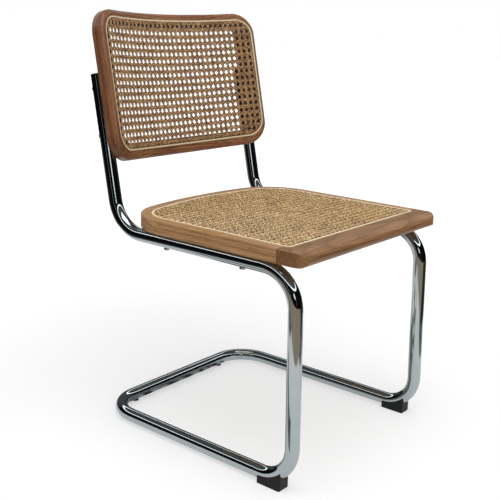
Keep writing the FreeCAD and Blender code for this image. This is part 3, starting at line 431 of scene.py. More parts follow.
@dataclass(frozen=True)
class Wood:
    """Lacquered wood: growth rings, fibres, pores and slow changes of tone.

    The growth rings are gap apart, wander by drift and are as dark as rings says. Fine and long
    are how often the fibres change in a metre, across the grain and along it. Where the grain
    follows a bend, half, high and corner are the half sizes and corner radius of the wood's
    outer edge.
    """

    name: str
    pale: Colour
    middle: Colour
    dark: Colour
    grain: Grain
    gap: float
    drift: float
    gloss: float = 0.42
    rings: float = 0.6
    fine: float = 380.0
    long: float = 9.0
    half: float = 0.0
    high: float = 0.0
    corner: float = 0.0

    def make(self) -> bpy.types.Material:
        """Builds the material."""
        recipe = Recipe(self.name)
        back = self.grain is Grain.ROUND_BACK
        spot = recipe.spot(BACK_MIDDLE, BACK_LEAN) if back else recipe.spot()
        x, y, z = recipe.split(spot)
        if self.grain is Grain.ACROSS:
            side, other, run = y, z, x
            ring = self.board_rings(recipe, (x, y, z))
            inside = recipe.maths("MINIMUM", recipe.less(SEAT_REED_HALF, recipe.size(x)),
                                  recipe.less(y, SEAT_REED_FRONT))
        else:
            along = recipe.size(z) if back else y
            side = ring_distance(recipe, x, along, self.half, self.high, self.corner)
            other = y if back else z
            run = recipe.add(x, along)
            ring = recipe.add(side, recipe.times(other, 0.45))
            inside = recipe.less(-BACK_REED_INSET if back else -SEAT_REED_INSET, side)
        wander = recipe.less(recipe.noise(spot, 5.0, 2.0), 0.5)
        ring = recipe.add(ring, recipe.times(wander, 2.0 * self.drift))
        fibre_place = recipe.merge(recipe.times(side, self.fine), recipe.times(other, self.fine),
                                   recipe.times(run, self.long))
        fibres = recipe.noise(fibre_place, 1.0, 5.0, 0.68)
        pores = recipe.noise(recipe.stretch(fibre_place, (3.0, 3.0, 9.0)), 1.0, 1.0)
        year = recipe.maths("FRACT", recipe.maths("DIVIDE", ring, self.gap))
        late = recipe.ramp(year, [(0.0, grey(0.25)), (0.18, grey(0.0)), (0.62, grey(0.25)),
                                  (0.9, grey(1.0)), (1.0, grey(0.25))])
        patches = recipe.noise(spot, 9.0, 2.0)
        shade = recipe.mix(recipe.span(patches, 0.3, 0.7), self.pale, self.middle)
        shade = recipe.mix(recipe.times(late, self.rings), shade, self.dark)
        shade = recipe.mix(recipe.span(fibres, 0.44, 0.66, 0.0, 0.7), shade, self.dark)
        shade = recipe.mix(recipe.span(pores, 0.6, 0.7, 0.0, 0.7), shade, self.dark)
        # Painted shade on the wood that lies behind the cane.
        shade = self.painted_shade_under_cane(recipe, shade, inside)
        recipe.coat(Base_Color=self.end_grain(recipe, shade, (x, y, z)),
                    Roughness=recipe.span(fibres, 0.3, 0.7, self.gloss - 0.06, self.gloss + 0.08),
                    Specular_IOR_Level=0.3, Coat_Weight=0.3, Coat_Roughness=0.3)
        recipe.raise_by(recipe.less(fibres, recipe.span(pores, 0.63, 0.72, 0.0, 0.8)),
                        0.00007, 0.5)
        return recipe.material

    def painted_shade_under_cane(self, recipe: Recipe, shade: Socket, inside: Socket) -> Socket:
        """Darkens the bare wood behind the cane with painted shade, most of all close behind it.

        Args:
            recipe: the nodes to add to.
            shade: the colour so far.
            inside: how far inside the outer edge of the reed a place lies.

        Returns:
            The colour with the wood behind the cane darkened.
        """
        back = self.grain is Grain.ROUND_BACK
        depth = face_depth(recipe, back)
        rear = 0.028 if back else 0.025
        # Painted shade: wood below the face, inside the reed and off the rear face is darkened,
        # most just behind the cane.
        behind = recipe.times(recipe.span(depth, 0.0004, 0.0008),
                              recipe.span(depth, rear + 0.0005, rear - 0.0005))
        behind = recipe.times(behind, recipe.span(inside, 0.0, 0.001))
        share = recipe.times(behind, recipe.span(depth, 0.003, 0.012, 0.92, 0.45))
        return recipe.mix(share, shade, darker(self.dark, 0.2))

    def board_rings(self, recipe: Recipe, place: Sequence[Socket]) -> Socket:
        """Gives the rings of a flat-sawn board, whose arches show on the rounded nose.

        Args:
            recipe: the nodes to add to.
            place: the place's three numbers.

        Returns:
            The distance from the heart of the tree, a line below the board that rises towards
            its ends.
        """
        x, y, z = place
        heart_y, heart_z = -0.235, SEAT_TOP - 0.045
        sway = recipe.times(recipe.times(x, x), 0.15)
        rise = recipe.less(recipe.less(z, heart_z), sway)
        return recipe.slant(rise, recipe.times(recipe.less(y, heart_y), 0.75))

    def end_grain(self, recipe: Recipe, shade: Socket, place: Sequence[Socket]) -> Socket:
        """Darkens the sawn ends of a straight piece and streaks them.

        Args:
            recipe: the nodes to add to.
            shade: the colour so far.
            place: the place's three numbers.

        Returns:
            The colour with the ends darkened.
        """
        if self.grain is not Grain.ACROSS:
            return shade
        _, y, z = place
        facing = recipe.split(recipe.node("TexCoord").outputs["Normal"])[0]
        ends = recipe.span(recipe.size(facing), 0.82, 0.9, 0.0, 0.8)
        lines = recipe.noise(recipe.merge(0.0, recipe.times(y, 620.0), recipe.times(z, 70.0)),
                             1.0, 3.0)
        sawn = recipe.mix(recipe.span(lines, 0.35, 0.65), darker(self.middle, 0.9),
                          darker(self.dark, 0.98))
        return recipe.mix(ends, shade, sawn)


@dataclass(frozen=True)
class Cane:
    """Split cane: glossy bark with streaks along each strand and strands of different tone.

    Runs are the directions of the strands in the panel's plane, in radians from side to side.
    The strands carry painted shade at their edges, near the weave's middle depth, and none
    where they are flat_from or more in front of it or behind it.
    """

    name: str
    pale: Colour
    middle: Colour
    dark: Colour
    runs: tuple[float, ...]
    middle_depth: float
    flat_from: float
    upright: bool

    def make(self) -> bpy.types.Material:
        """Builds the material."""
        recipe = Recipe(self.name)
        spot = recipe.spot(BACK_MIDDLE, BACK_LEAN) if self.upright else recipe.spot()
        if self.upright:
            x, y, z = recipe.split(spot)
            spot = recipe.merge(x, z, y)
        streaks = None
        for run in self.runs:
            turned = recipe.node("Mapping", [spot, None, (0.0, 0.0, run)], vector_type="TEXTURE")
            line = recipe.noise(recipe.stretch(turned.outputs[0], (12.0, 520.0, 60.0)), 1.0, 2.0)
            streaks = line if streaks is None else recipe.times(recipe.add(streaks, line), 0.5)
        level = recipe.less(face_depth(recipe, self.upright), self.middle_depth)
        patches = recipe.noise(spot, 30.0, 3.0, 0.6)
        flecks = recipe.noise(spot, 330.0, 2.0, 0.7)
        shade = recipe.mix(recipe.span(streaks, 0.38, 0.6), self.pale, self.middle)
        shade = recipe.mix(recipe.span(patches, 0.42, 0.72, 0.0, 0.5), shade, self.dark)
        shade = recipe.mix(recipe.span(flecks, 0.49, 0.6, 0.0, 0.95), shade, self.dark)
        shade = recipe.mix(recipe.span(flecks, 0.45, 0.36, 0.0, 0.75), shade, self.pale)
        # Painted shade: strands darken as they near the weave's middle depth, along their edges and
        # where they dip under each other.
        edges = recipe.span(recipe.size(level), self.flat_from, 0.0, 0.0, 0.92)
        shade = recipe.mix(edges, shade, darker(self.dark, 0.25))
        recipe.coat(Base_Color=shade, Roughness=recipe.span(patches, 0.3, 0.7, 0.34, 0.52),
                    Specular_IOR_Level=0.45)
        recipe.raise_by(streaks, 0.00012, 0.6)
        return recipe.material


@dataclass(frozen=True)
class Reed:
    """Pale reed, matt, with fibres and flecks, and painted shade along both of its edges."""

    name: str
    pale: Colour
    dark: Colour
    upright: bool

    def make(self) -> bpy.types.Material:
        """Builds the material."""
        recipe = Recipe(self.name)
        spot = recipe.spot()
        fibres = recipe.noise(spot, 320.0, 3.0, 0.6)
        patches = recipe.noise(spot, 24.0, 3.0)
        shade = recipe.mix(recipe.span(fibres, 0.4, 0.7, 0.0, 0.7), self.pale, self.dark)
        shade = recipe.mix(recipe.span(patches, 0.5, 0.8, 0.0, 0.5), shade, self.dark)
        # Painted shade along both edges of the reed, so that only its crown looks lit.
        if self.upright:
            across, _, along = recipe.split(recipe.spot(BACK_MIDDLE, BACK_LEAN))
            middle = (BACK_REED_HIGH + BACK_REED_LOW) / 2
            along = recipe.size(recipe.less(along, middle))
            edge = ring_distance(recipe, across, along, BACK_REED_HALF, BACK_REED_HIGH - middle,
                                 BACK_REED_CORNER)
            off = recipe.size(recipe.add(edge, REED_WIDE / 2))
            painted_shoulder_shade = recipe.span(off, 0.0009, 0.0014, 0.0, 0.9)
        else:
            painted_shoulder_shade = recipe.span(face_depth(recipe, False), -0.0003, 0.0, 0.0, 0.9)
        shade = recipe.mix(painted_shoulder_shade, shade, darker(self.dark, 0.3))
        recipe.coat(Base_Color=shade, Roughness=recipe.span(fibres, 0.3, 0.7, 0.5, 0.66))
        recipe.raise_by(fibres, 0.0001, 0.5)
        return recipe.material


def dress(finish: Any, *nodes: str) -> None:
    """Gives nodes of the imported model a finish.

    Args:
        finish: any of the finish classes.
        nodes: the nodes' names.
    """
    material = finish.make()
    for name in nodes:
        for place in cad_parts[name].material_slots:
            place.material = material
        LOG.info("%s dressed in %s", name, finish.name)


# Woven cane


@dataclass(frozen=True)
class SeatEdge:
    """The seat cane's edge: straight sides and front, round rear corners, a bowed rear."""

    half: float = SEAT_REED_HALF
    front: float = SEAT_REED_FRONT
    rear: float = 0.1392
    corner: float = 0.072
    bow: float = 0.704

    def holds(self, across: float, along: float, inset: float) -> bool:
        """Says whether a point lies inside the edge.

        Args:
            across: the point from side to side.
            along: the point from front to rear.
            inset: how far the edge is moved in first.

        Returns:
            Whether it does.
        """
        half, corner, bow = self.half - inset, self.corner - inset, self.bow - inset
        rear = self.rear - inset
        across = abs(across)
        if across > half or along < self.front + inset:
            return False
        middle = rear - bow
        side = half - corner
        height = sqrt((bow - corner) ** 2 - side ** 2)
        if hypot(across, along - middle) > bow:
            return False
        beyond = (across - side) * height - (along - middle - height) * side > 0
        if beyond and along > middle + height:
            return hypot(across - side, along - middle - height) <= corner
        return True


@dataclass(frozen=True)
class BackEdge:
    """The back cane's edge: a rounded box as seen from the front of the curved back."""

    half: float = BACK_REED_HALF
    low: float = BACK_REED_LOW
    high: float = BACK_REED_HIGH
    corner: float = BACK_REED_CORNER
    curve: float = BACK_CURVE

    def holds(self, across: float, along: float, inset: float) -> bool:
        """Says whether a point of the unrolled panel lies inside the edge.

        Args:
            across: the point from side to side, along the curve.
            along: the point's height on the back.
            inset: how far the edge is moved in first.

        Returns:
            Whether it does.
        """
        across = self.curve * sin(min(abs(across) / self.curve, pi / 2))
        half, low, high = self.half - inset, self.low + inset, self.high - inset
        corner = self.corner - inset
        if across > half or not low <= along <= high:
            return False
        reach = across - (half - corner)
        depth = max(along - (high - corner), (low + corner) - along)
        return reach <= 0 or depth <= 0 or hypot(reach, depth) <= corner


class Lay(Enum):
    """The ways that strands run across a panel."""

    ALONG = "along"
    ACROSS = "across"
    RISING = "rising"
    FALLING = "falling"


@dataclass
class CanePanel:
    """A panel of six-way woven cane: pairs along and across, single strands both ways slantwise.

    First is the middle of the first hole, pitch the step from hole to hole and count the number
    of holes, each across and along. Width and thick are a strand's own, and its upper edges are
    eased by a share of its thickness. The two strands of a pair lie spread either side of their
    line. Pairs rise and dip by ripple, and slants by swing. Tuck is how far the ends turn down,
    and sink how far the weave lies behind the wood's face. The panel is woven flat with its face
    up, and cut inside the edge, so that every strand ends under the reed.
    """

    node: str
    edge: SeatEdge | BackEdge
    first: tuple[float, float]
    pitch: tuple[float, float]
    count: tuple[int, int]
    width: float
    thick: float
    spread: float
    ripple: float
    swing: float
    eased: float = 0.62
    tuck: float = 0.0014
    sink: float = 0.0001

    def strand(self, length: float, turn: float, start: tuple[float, float],
               rises: Sequence[tuple[float, float]]) -> Piece:
        """Models one repeat of a strand: a flat strip with eased upper edges that dips and rises.

        Args:
            length: from one repeat to the next.
            turn: its direction in the plane, in radians.
            start: where it starts in the plane.
            rises: places along it, each with its height there.

        Returns:
            The strip, open at both ends.
        """
        bpy.ops.object.select_all(action="DESELECT")
        bpy.ops.mesh.primitive_cube_add(size=1.0, location=(length / 2, 0, 0),
                                        scale=(length, self.width, self.thick))
        strip = bpy.context.object
        strip.name = "strand"
        settle(strip)
        bpy.ops.object.mode_set(mode="EDIT")
        pick(strip, "FACE", lambda face: abs(face.normal.x) > 0.9)
        bpy.ops.mesh.delete(type="ONLY_FACE")
        pick(strip, "EDGE", lambda edge: all(v.co.z > 0 for v in edge.verts)
             and abs(edge.verts[0].co.x - edge.verts[1].co.x) > length / 2)
        bpy.ops.mesh.bevel(offset=self.thick * self.eased, segments=1)
        for place, _ in rises:
            if 1e-6 < place < length - 1e-6:
                bpy.ops.mesh.select_all(action="SELECT")
                bpy.ops.mesh.bisect(plane_co=(place, 0, 0), plane_no=(1, 0, 0))
        for place, rise in rises:
            if rise:
                pick(strip, "VERT", lambda vert, at=place: abs(vert.co.x - at) < 1e-6)
                bpy.ops.transform.translate(value=(0, 0, rise))
        bpy.ops.object.mode_set(mode="OBJECT")
        strip.rotation_euler.z = turn
        strip.location = (*start, 0.0)
        settle(strip)
        return strip

    def pairs(self, lay: Lay) -> Piece:
        """Weaves the paired strands that run along or across.

        Args:
            lay: ALONG or ACROSS.

        Returns:
            All the strands as one object.
        """
        along = lay is Lay.ALONG
        step, other = (self.pitch[1], self.pitch[0]) if along else self.pitch
        runs, lines = (self.count[1], self.count[0]) if along else self.count
        level = 2.2 * self.spread
        laid = []
        for side in (-1, 1):
            lean = side * self.ripple if along else -side * self.ripple
            rises = [(step / 2 - level, 0.0), (step / 2 - self.spread, lean),
                     (step / 2 + self.spread, -lean), (step / 2 + level, 0.0)]
            at = -other / 2 + side * self.spread
            if along:
                start = (self.first[0] + at, self.first[1] - step)
            else:
                start = (self.first[0] - step, self.first[1] + at)
            strip = self.strand(step, pi / 2 if along else 0.0, start, rises)
            repeat(strip, runs + 1, (0, step, 0) if along else (step, 0, 0), joined=True)
            repeat(strip, lines + 1, (other, 0, 0) if along else (0, other, 0))
            laid.append(strip)
        return join(laid, f"{self.node}_{lay.value}")

    def slants(self, lay: Lay) -> Piece:
        """Weaves the single strands that run slantwise over one set of pairs and under the other.

        Args:
            lay: RISING or FALLING.

        Returns:
            All the strands as one object.
        """
        rising = lay is Lay.RISING
        across, along = self.pitch
        length = hypot(across, along)
        swing = self.swing if rising else -self.swing
        flat = 0.0026
        rises = [(0.0, swing), (flat, swing), (length / 2 - flat, -swing),
                 (length / 2 + flat, -swing), (length - flat, swing), (length, swing)]
        climb = along if rising else -along
        beyond = self.count[1] + 1
        start = (self.first[0] - across / 2 - beyond * across,
                 self.first[1] + (-along if rising else self.count[1] * along))
        strip = self.strand(length, atan2(climb, across), start, rises)
        repeat(strip, self.count[1] + 2, (across, climb, 0), joined=True)
        repeat(strip, self.count[0] + 1 + beyond, (across, 0, 0))
        strip.name = strip.data.name = f"{self.node}_{lay.value}"
        return strip

    def trim(self, piece: Piece) -> None:
        """Cuts the strands off under the reed, turns their ends down and closes them.

        Args:
            piece: the flat weave.
        """
        take(piece)
        bpy.ops.object.mode_set(mode="EDIT")

        def outside(face: bmesh.types.BMFace) -> bool:
            """Says whether a face lies beyond the middle of the reed."""
            middle = face.calc_center_median()
            return not self.edge.holds(middle.x, middle.y, REED_WIDE / 2)

        pick(piece, "FACE", outside)
        bpy.ops.mesh.delete(type="FACE")
        hidden = REED_WIDE - 0.0004
        pick(piece, "VERT", lambda vert: not self.edge.holds(vert.co.x, vert.co.y, hidden))
        bpy.ops.transform.translate(value=(0, 0, -self.tuck))
        bpy.ops.mesh.select_all(action="SELECT")
        bpy.ops.mesh.fill_holes(sides=8)
        bpy.ops.mesh.select_all(action="SELECT")
        bpy.ops.mesh.normals_make_consistent(inside=False)
        bpy.ops.object.mode_set(mode="OBJECT")

    def place(self, piece: Piece) -> None:
        """Lays a trimmed weave on the seat."""
        piece.location.z = SEAT_TOP - self.sink
        settle(piece)

    def build(self, colours: tuple[Colour, Colour, Colour]) -> None:
        """Weaves the panel, dresses it and puts it in place of the plain net.

        Args:
            colours: the cane's pale, middle and dark tones.
        """
        slant = atan2(self.pitch[1], self.pitch[0])
        for weave, name, runs in (
                (lambda: self.pairs(Lay.ALONG), "along", (pi / 2,)),
                (lambda: self.pairs(Lay.ACROSS), "across", (0.0,)),
                (lambda: join([self.slants(Lay.RISING), self.slants(Lay.FALLING)],
                              f"{self.node}_slants"), "slants", (slant, -slant))):
            piece = weave()
            self.trim(piece)
            self.place(piece)
            take(piece)
            bpy.ops.object.shade_smooth_by_angle(angle=radians(50))
            finish = Cane(f"{self.node}_{name}", *colours, runs, self.sink, 0.45 * self.thick,
                          self.upright)
            piece.data.materials.clear()
            piece.data.materials.append(finish.make())
            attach(piece, "root")
            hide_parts(self.node)
            LOG.info("%s woven, %d faces", piece.name, len(piece.data.polygons))

    @property
    def upright(self) -> bool:
        """Says whether the panel stands up in the back."""
        return False


@dataclass
class BackPanel(CanePanel):
    """The same weave, bent to the hollow of the back and leaned with it."""

    curve: float = BACK_CURVE

    @property
    def upright(self) -> bool:
        """Says whether the panel stands up in the back."""
        return True

    def place(self, piece: Piece) -> None:
        """Stands a trimmed weave up, bends it and leans it into the back.

        Args:
            piece: the flat weave.
        """
        piece.rotation_euler.x = pi / 2
        piece.location.y = self.sink
        settle(piece)
        across = [vert.co.x for vert in piece.data.vertices]
        bend = piece.modifiers.new("bend", "SIMPLE_DEFORM")
        bend.deform_method = "BEND"
        bend.deform_axis = "Z"
        bend.angle = -(max(across) - min(across)) / self.curve
        bpy.ops.object.modifier_apply(modifier=bend.name)
        piece.rotation_euler.x = -BACK_LEAN
        piece.location = BACK_MIDDLE
        settle(piece)


# The chair's sub-assemblies


@dataclass
class Tube:
    """The bent tube with its plugs, feet and glides."""

    chrome: Plating = Plating("chrome", (0.39, 0.43, 0.44, 1.0))
    plastic: Moulding = Moulding("black_plastic", tone(12, 13, 14), tone(34, 35, 36))

    def build(self) -> None:
        """Dresses the tube and what closes or carries it."""
        dress(self.chrome, "tube_frame")
        dress(self.plastic, *[f"{part}_{side}" for side in ("left", "right")
                              for part in ("upper_plug", "front_foot", "rear_glide")])


@dataclass
class Fastenings:
    """Screws, threaded sleeves and dowels."""

    steel: Plating = Plating("screw_steel", (0.46, 0.46, 0.47, 1.0), (0.22, 0.38), 0.00003)
    brass: Plating = Plating("sleeve_brass", (0.72, 0.52, 0.24, 1.0), (0.25, 0.4), 0.00003)
    wood: Wood = Wood("dowel_beech", tone(214, 180, 140), tone(198, 160, 118),
                      tone(160, 118, 78), Grain.ACROSS, gap=0.002, drift=0.002)

    def build(self) -> None:
        """Dresses every fastening."""
        names = sorted(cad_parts)
        dress(self.steel, *[name for name in names if "screw" in name])
        dress(self.brass, *[name for name in names if "insert" in name])
        dress(self.wood, *[name for name in names if "dowel" in name])


@dataclass
class Seat:
    """The seat's two wooden rails, its reed and its woven cane."""

    bent: Wood = Wood("seat_wood", tone(218, 172, 118), tone(192, 146, 94), tone(108, 66, 34),
                      Grain.ROUND_SEAT, gap=0.005, drift=0.004, rings=0.42, half=0.230, high=0.161,
                      corner=0.107)
    front: Wood = Wood("front_rail_wood", tone(180, 135, 86), tone(154, 109, 65),
                       tone(92, 54, 25), Grain.ACROSS, gap=0.0038, drift=0.003, rings=0.5)
    reed: Reed = Reed("seat_reed", tone(248, 230, 196), tone(226, 200, 158), False)

    def build(self) -> None:
        """Dresses the rails and the reed, and weaves the cane."""
        dress(self.bent, "seat_bent_rail")
        dress(self.front, "seat_front_rail")
        dress(self.reed, "seat_spline")
        panel = CanePanel("seat_cane", SeatEdge(), first=(-0.1995, -0.2243),
                          pitch=(0.0133, 0.0142), count=(31, 26), width=0.0028,
                          thick=0.0017, spread=0.0015, ripple=0.0005, swing=0.0009,
                          sink=0.0007)
        panel.build((tone(240, 208, 150), tone(196, 154, 96), tone(108, 70, 32)))


@dataclass
class Back:
    """The ring of the back, its reed and its woven cane."""

    # Painted shade: the ring's tones are darker than the seat wood's, for the shade the back stands
    # in.
    ring: Wood = Wood("back_wood", tone(172, 116, 74), tone(138, 86, 52), tone(62, 32, 16),
                      Grain.ROUND_BACK, gap=0.0065, drift=0.006, half=0.2282, high=0.1438,
                      corner=0.0487)
    reed: Reed = Reed("back_reed", tone(238, 216, 180), tone(212, 184, 142), True)

    def build(self) -> None:
        """Dresses the ring and the reed, and weaves the cane."""
        dress(self.ring, "back_frame")
        dress(self.reed, "back_spline")
        panel = BackPanel("back_cane", BackEdge(), first=(-0.2147, -0.1247),
                          pitch=(0.01329, 0.0142), count=(33, 18), width=0.00275,
                          thick=0.0009, spread=0.0015, ripple=0.00045, swing=0.0007)
        panel.build((tone(212, 172, 122), tone(154, 110, 66), tone(76, 44, 20)))


# Studio


@dataclass
class Studio:
    """White floor and surroundings, soft lamps, and a dark tent that only metal reflects.

    White says how the floor's own white grows: from and to which distance, and how bright it is
    there. Fill is how much the surroundings light the chair. The tent is a dome with a cloth laid
    round its foot, in to cloth_from. Mats are dark patches on the floor, each with its middle,
    size, turn in degrees and height; the one under the chair is painted shadow, as the metal
    reflects it. Strips are bright upright bands on the dome, each with its place from side to
    side, half width and brightness, and rim is the same for the bright band where the wall meets
    the roof. Their places and widths are shares of the dome's radius.
    """

    floor_half: float = 20.0
    white: tuple[float, float, float, float] = (0.5, 2.2, 0.52, 0.8)
    fill: float = 0.50
    tent_wide: float = 3.2
    cloth_from: float = 0.98
    # The first mat, under the chair, is painted shadow for the metal to reflect; the rest are dark
    # patches.
    mats: tuple[tuple[float, ...], ...] = (
        (0.0, 0.01, 0.30, 0.38, 0.0, 0.003), (-0.45, 0.04, 0.14, 0.60, 0.0, 0.003),
        (0.49, 0.04, 0.22, 0.60, 0.0, 0.003), (-0.99, 0.80, 0.9, 1.1, 40.0, 0.002),
        (0.62, -1.12, 0.9, 1.1, 40.0, 0.002))
    roof: Colour = (0.10, 0.107, 0.11, 1.0)
    cloth: Colour = (0.52, 0.41, 0.31, 1.0)
    rim: tuple[float, float, float] = (0.58, 0.035, 3.0)
    strips: tuple[tuple[float, float, float], ...] = ((-0.55, 0.02, 0.7), (0.35, 0.012, 0.6))

    def floor(self) -> None:
        """Lays the floor: pale, and lit up to white where nothing shades it."""
        bpy.ops.object.select_all(action="DESELECT")
        bpy.ops.mesh.primitive_plane_add(size=2 * self.floor_half, location=(0, 0, 0))
        floor = bpy.context.object
        floor.name = "floor"
        recipe = Recipe("floor_paint")
        cloud = recipe.noise(recipe.spot(), 3.0, 3.0)
        recipe.coat(Base_Color=recipe.mix(cloud, grey(0.55), grey(0.57)), Roughness=0.9,
                    Specular_IOR_Level=0.1)
        path = recipe.node("LightPath").outputs
        seen = recipe.maths("MAXIMUM", path["Is Camera Ray"], path["Is Glossy Ray"])
        seen = recipe.maths("MAXIMUM", seen, path["Is Transmission Ray"])
        recipe.coat(Emission_Color=grey(1.0),
                    Emission_Strength=recipe.times(seen, recipe.span(recipe.far(), *self.white)))
        floor.data.materials.append(recipe.material)
        LOG.info("floor laid")

    def sky(self) -> None:
        """Sets the surroundings: white where they are seen, softer where they light."""
        world = bpy.data.worlds.new("studio")
        bpy.context.scene.world = world
        world.use_nodes = True
        tree = world.node_tree
        shine = tree.nodes["Background"]
        shine.inputs["Color"].default_value = grey(1.0)
        path = tree.nodes.new("ShaderNodeLightPath")
        seen = path.outputs["Is Camera Ray"]
        for name in ("Is Glossy Ray", "Is Transmission Ray"):
            larger = tree.nodes.new("ShaderNodeMath")
            larger.operation = "MAXIMUM"
            tree.links.new(seen, larger.inputs[0])
            tree.links.new(path.outputs[name], larger.inputs[1])
            seen = larger.outputs[0]
        level = tree.nodes.new("ShaderNodeMapRange")
        tree.links.new(seen, level.inputs["Value"])
        level.inputs["To Min"].default_value = self.fill
        level.inputs["To Max"].default_value = 1.0
        tree.links.new(level.outputs[0], shine.inputs["Strength"])
        LOG.info("surroundings set")

    def lamp(self, name: str, place: Point, aim: Point, size: float, power: float) -> None:
        """Hangs one square soft lamp.

        Args:
            name: the lamp's name.
            place: where it hangs.
            aim: the point that it faces.
            size: the length of its side.
            power: its light in watts.
        """
        data = bpy.data.lights.new(name, "AREA")
        data.shape = "SQUARE"
        data.size = size
        data.energy = power
        lamp = bpy.data.objects.new(name, data)
        bpy.context.scene.collection.objects.link(lamp)
        lamp.location = place
        lamp.visible_camera = False
        lamp.rotation_euler = (Vector(aim) - Vector(place)).to_track_quat("-Z", "Y").to_euler()
        LOG.info("%s hung", name)

    def tent_shell(self) -> Piece:
        """Models the dome with the cloth round its foot, and the mats inside it.

        Returns:
            All of them as one object.
        """
        bpy.ops.object.select_all(action="DESELECT")
        bpy.ops.mesh.primitive_uv_sphere_add(segments=64, ring_count=32, radius=self.tent_wide)
        tent = bpy.context.object
        tent.name = "tent"
        bpy.ops.object.mode_set(mode="EDIT")
        bpy.ops.mesh.select_all(action="SELECT")
        bpy.ops.mesh.bisect(plane_co=(0, 0, 0.004), plane_no=(0, 0, 1), clear_inner=True)
        pick(tent, "EDGE", lambda edge: edge.is_boundary)
        bpy.ops.mesh.extrude_region_move()
        bpy.ops.transform.resize(value=(self.cloth_from / self.tent_wide,) * 2 + (1.0,))
        bpy.ops.object.mode_set(mode="OBJECT")
        cloths = [tent]
        for x, y, wide, deep, turn, high in self.mats:
            bpy.ops.object.select_all(action="DESELECT")
            bpy.ops.mesh.primitive_grid_add(x_subdivisions=4, y_subdivisions=4, size=1.0,
                                            location=(x, y, high))
            mat = bpy.context.object
            mat.scale = (wide, deep, 1.0)
            mat.rotation_euler.z = radians(turn)
            settle(mat)
            cloths.append(mat)
        return join(cloths, "tent")

    def toward(self, recipe: Recipe, way: tuple[float, float]) -> Socket:
        """Gives how far a place lies along a way over the floor.

        Args:
            recipe: the nodes to add to.
            way: the way's direction.

        Returns:
            The length as a share of the dome's radius.
        """
        x, y, _ = recipe.split(recipe.spot())
        return recipe.add(recipe.times(x, way[0] / self.tent_wide),
                          recipe.times(y, way[1] / self.tent_wide))

    def dome_shade(self, recipe: Recipe, high: Socket) -> Socket:
        """Shades the dome: black, with a grey roof and far side, bright strips and a bright rim.

        Args:
            recipe: the nodes to add to.
            high: the height as a share of the dome's radius.

        Returns:
            The dome's colour.
        """
        ahead, side = [self.toward(recipe, way) for way in (AHEAD, RIGHTWARD)]
        roof = recipe.maths("MAXIMUM", recipe.span(high, 0.56, 0.62),
                            recipe.times(recipe.span(ahead, 0.35, 0.75),
                                         recipe.span(high, 0.06, 0.2)))
        shade = recipe.mix(roof, (0.006, 0.006, 0.007, 1.0), self.roof)
        near_side = recipe.times(recipe.span(ahead, 0.1, 0.0), recipe.span(high, 0.05, 0.1))
        for place, half, bright in self.strips:
            off = recipe.size(recipe.less(side, place))
            strip = recipe.times(recipe.span(off, half, half * 0.6), near_side)
            shade = recipe.mix(strip, shade, grey(bright))
        place, half, bright = self.rim
        off = recipe.size(recipe.less(high, place))
        return recipe.mix(recipe.span(off, half, half * 0.6), shade, grey(bright))

    def cloth_shade(self, recipe: Recipe) -> Socket:
        """Shades the cloth: brown with dark creases ahead and towards the camera, else black.

        Args:
            recipe: the nodes to add to.

        Returns:
            The cloth's colour.
        """
        turn = recipe.maths("DIVIDE", recipe.size(self.toward(recipe, AHEAD)),
                            recipe.times(recipe.far(), 1.0 / self.tent_wide))
        shade = recipe.mix(recipe.span(turn, 0.42, 0.5), grey(0.012), self.cloth)
        outward = recipe.node("VectorMath", [recipe.spot()], operation="NORMALIZE").outputs[0]
        creases = recipe.noise(recipe.stretch(outward, (9.0, 9.0, 9.0)), 1.0)
        return recipe.mix(recipe.span(creases, 0.54, 0.58, 0.0, 0.6), shade,
                          (0.13, 0.12, 0.11, 1.0))

    def shadow_and_mat_shade(self, recipe: Recipe) -> Socket:
        """Shades the mats: streaks from black to grey; on the mat under the chair they are painted
        shadow, as the metal reflects it.

        Args:
            recipe: the nodes to add to.

        Returns:
            The mats' colour.
        """
        x, y, _ = recipe.split(recipe.spot())
        # Painted shadow: black to grey streaks, which the metal reflects as the shaded floor under
        # the chair.
        shadow_and_mat_streaks = recipe.noise(recipe.merge(recipe.times(x, 40.0), recipe.times(y, 8.0), 0.0),
                             1.0, 2.0)
        return recipe.mix(recipe.span(shadow_and_mat_streaks, 0.4, 0.6), grey(0.05), (0.40, 0.41, 0.42, 1.0))

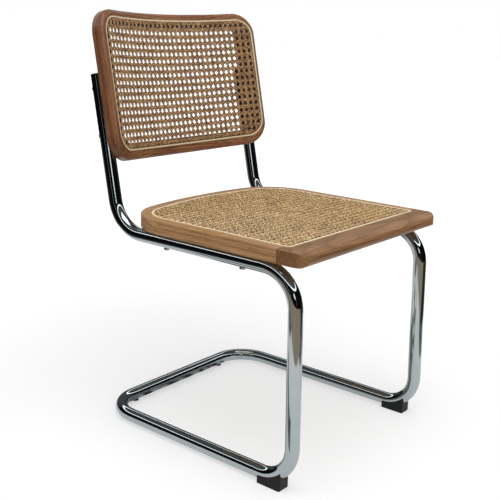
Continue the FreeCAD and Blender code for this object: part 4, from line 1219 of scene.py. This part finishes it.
    def tent(self) -> None:
        """Raises a dark tent that only metal sees: a dome, a cloth round the floor, and mats."""
        tent = self.tent_shell()
        recipe = Recipe("tent_cloth")
        z = recipe.split(recipe.spot())[2]
        high = recipe.times(z, 1.0 / self.tent_wide)
        ground = recipe.mix(recipe.span(z, 0.0036, 0.0034), self.cloth_shade(recipe),
                            self.shadow_and_mat_shade(recipe))
        shade = recipe.mix(recipe.span(high, 0.004, 0.003), self.dome_shade(recipe, high), ground)
        recipe.coat(Base_Color=grey(0.0), Roughness=1.0, Specular_IOR_Level=0.0,
                    Emission_Color=shade, Emission_Strength=1.0)
        tent.data.materials.append(recipe.material)
        for ray in ("camera", "diffuse", "shadow", "transmission", "volume_scatter"):
            setattr(tent, "visible_" + ray, False)
        LOG.info("tent raised")

    def build(self) -> None:
        """Sets up floor, surroundings, lamps and tent."""
        self.floor()
        self.sky()
        self.lamp("overhead", (-0.3, -0.4, 2.6), (0.0, 0.0, 0.4), 1.8, 30.0)
        self.lamp("front", (-1.8, -2.2, 1.5), (0.0, 0.0, 0.5), 1.4, 13.0)
        self.tent()


@dataclass(frozen=True)
class Camera:
    """The camera's place and turn, and the lens and shift that frame the chair."""

    place: Point = (-1.34612, -1.03593, 0.78120)
    right: Point = (0.64651664, -0.7623919, 0.02783583)
    up: Point = (0.14062231, 0.15495217, 0.97786256)
    ahead: Point = (0.74982772, 0.62829008, -0.20738846)
    lens: float = 63.53
    shift: tuple[float, float] = (0.0600, -0.0850)

    def build(self) -> None:
        """Adds the camera and looks through it."""
        data = bpy.data.cameras.new("camera")
        data.lens = self.lens
        data.sensor_width = 36.0
        data.shift_x, data.shift_y = self.shift
        camera = bpy.data.objects.new("camera", data)
        bpy.context.scene.collection.objects.link(camera)
        turn = Matrix((self.right, self.up, [-part for part in self.ahead])).transposed()
        camera.matrix_world = Matrix.Translation(self.place) @ turn.to_4x4()
        bpy.context.scene.camera = camera
        LOG.info("camera placed")


def main() -> None:
    """Builds the chair's finishes and weave, then the studio round it."""
    logging.basicConfig(level=logging.INFO, format="%(message)s")
    for name in ("Cube", "Light", "Camera"):
        if name in bpy.data.objects:
            bpy.data.objects.remove(bpy.data.objects[name])
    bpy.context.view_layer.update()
    Camera().build()
    for assembly in (Tube(), Fastenings(), Seat(), Back(), Studio()):
        assembly.build()
    bpy.context.scene.view_settings.view_transform = "Standard"


if __name__ == "__main__":
    main()
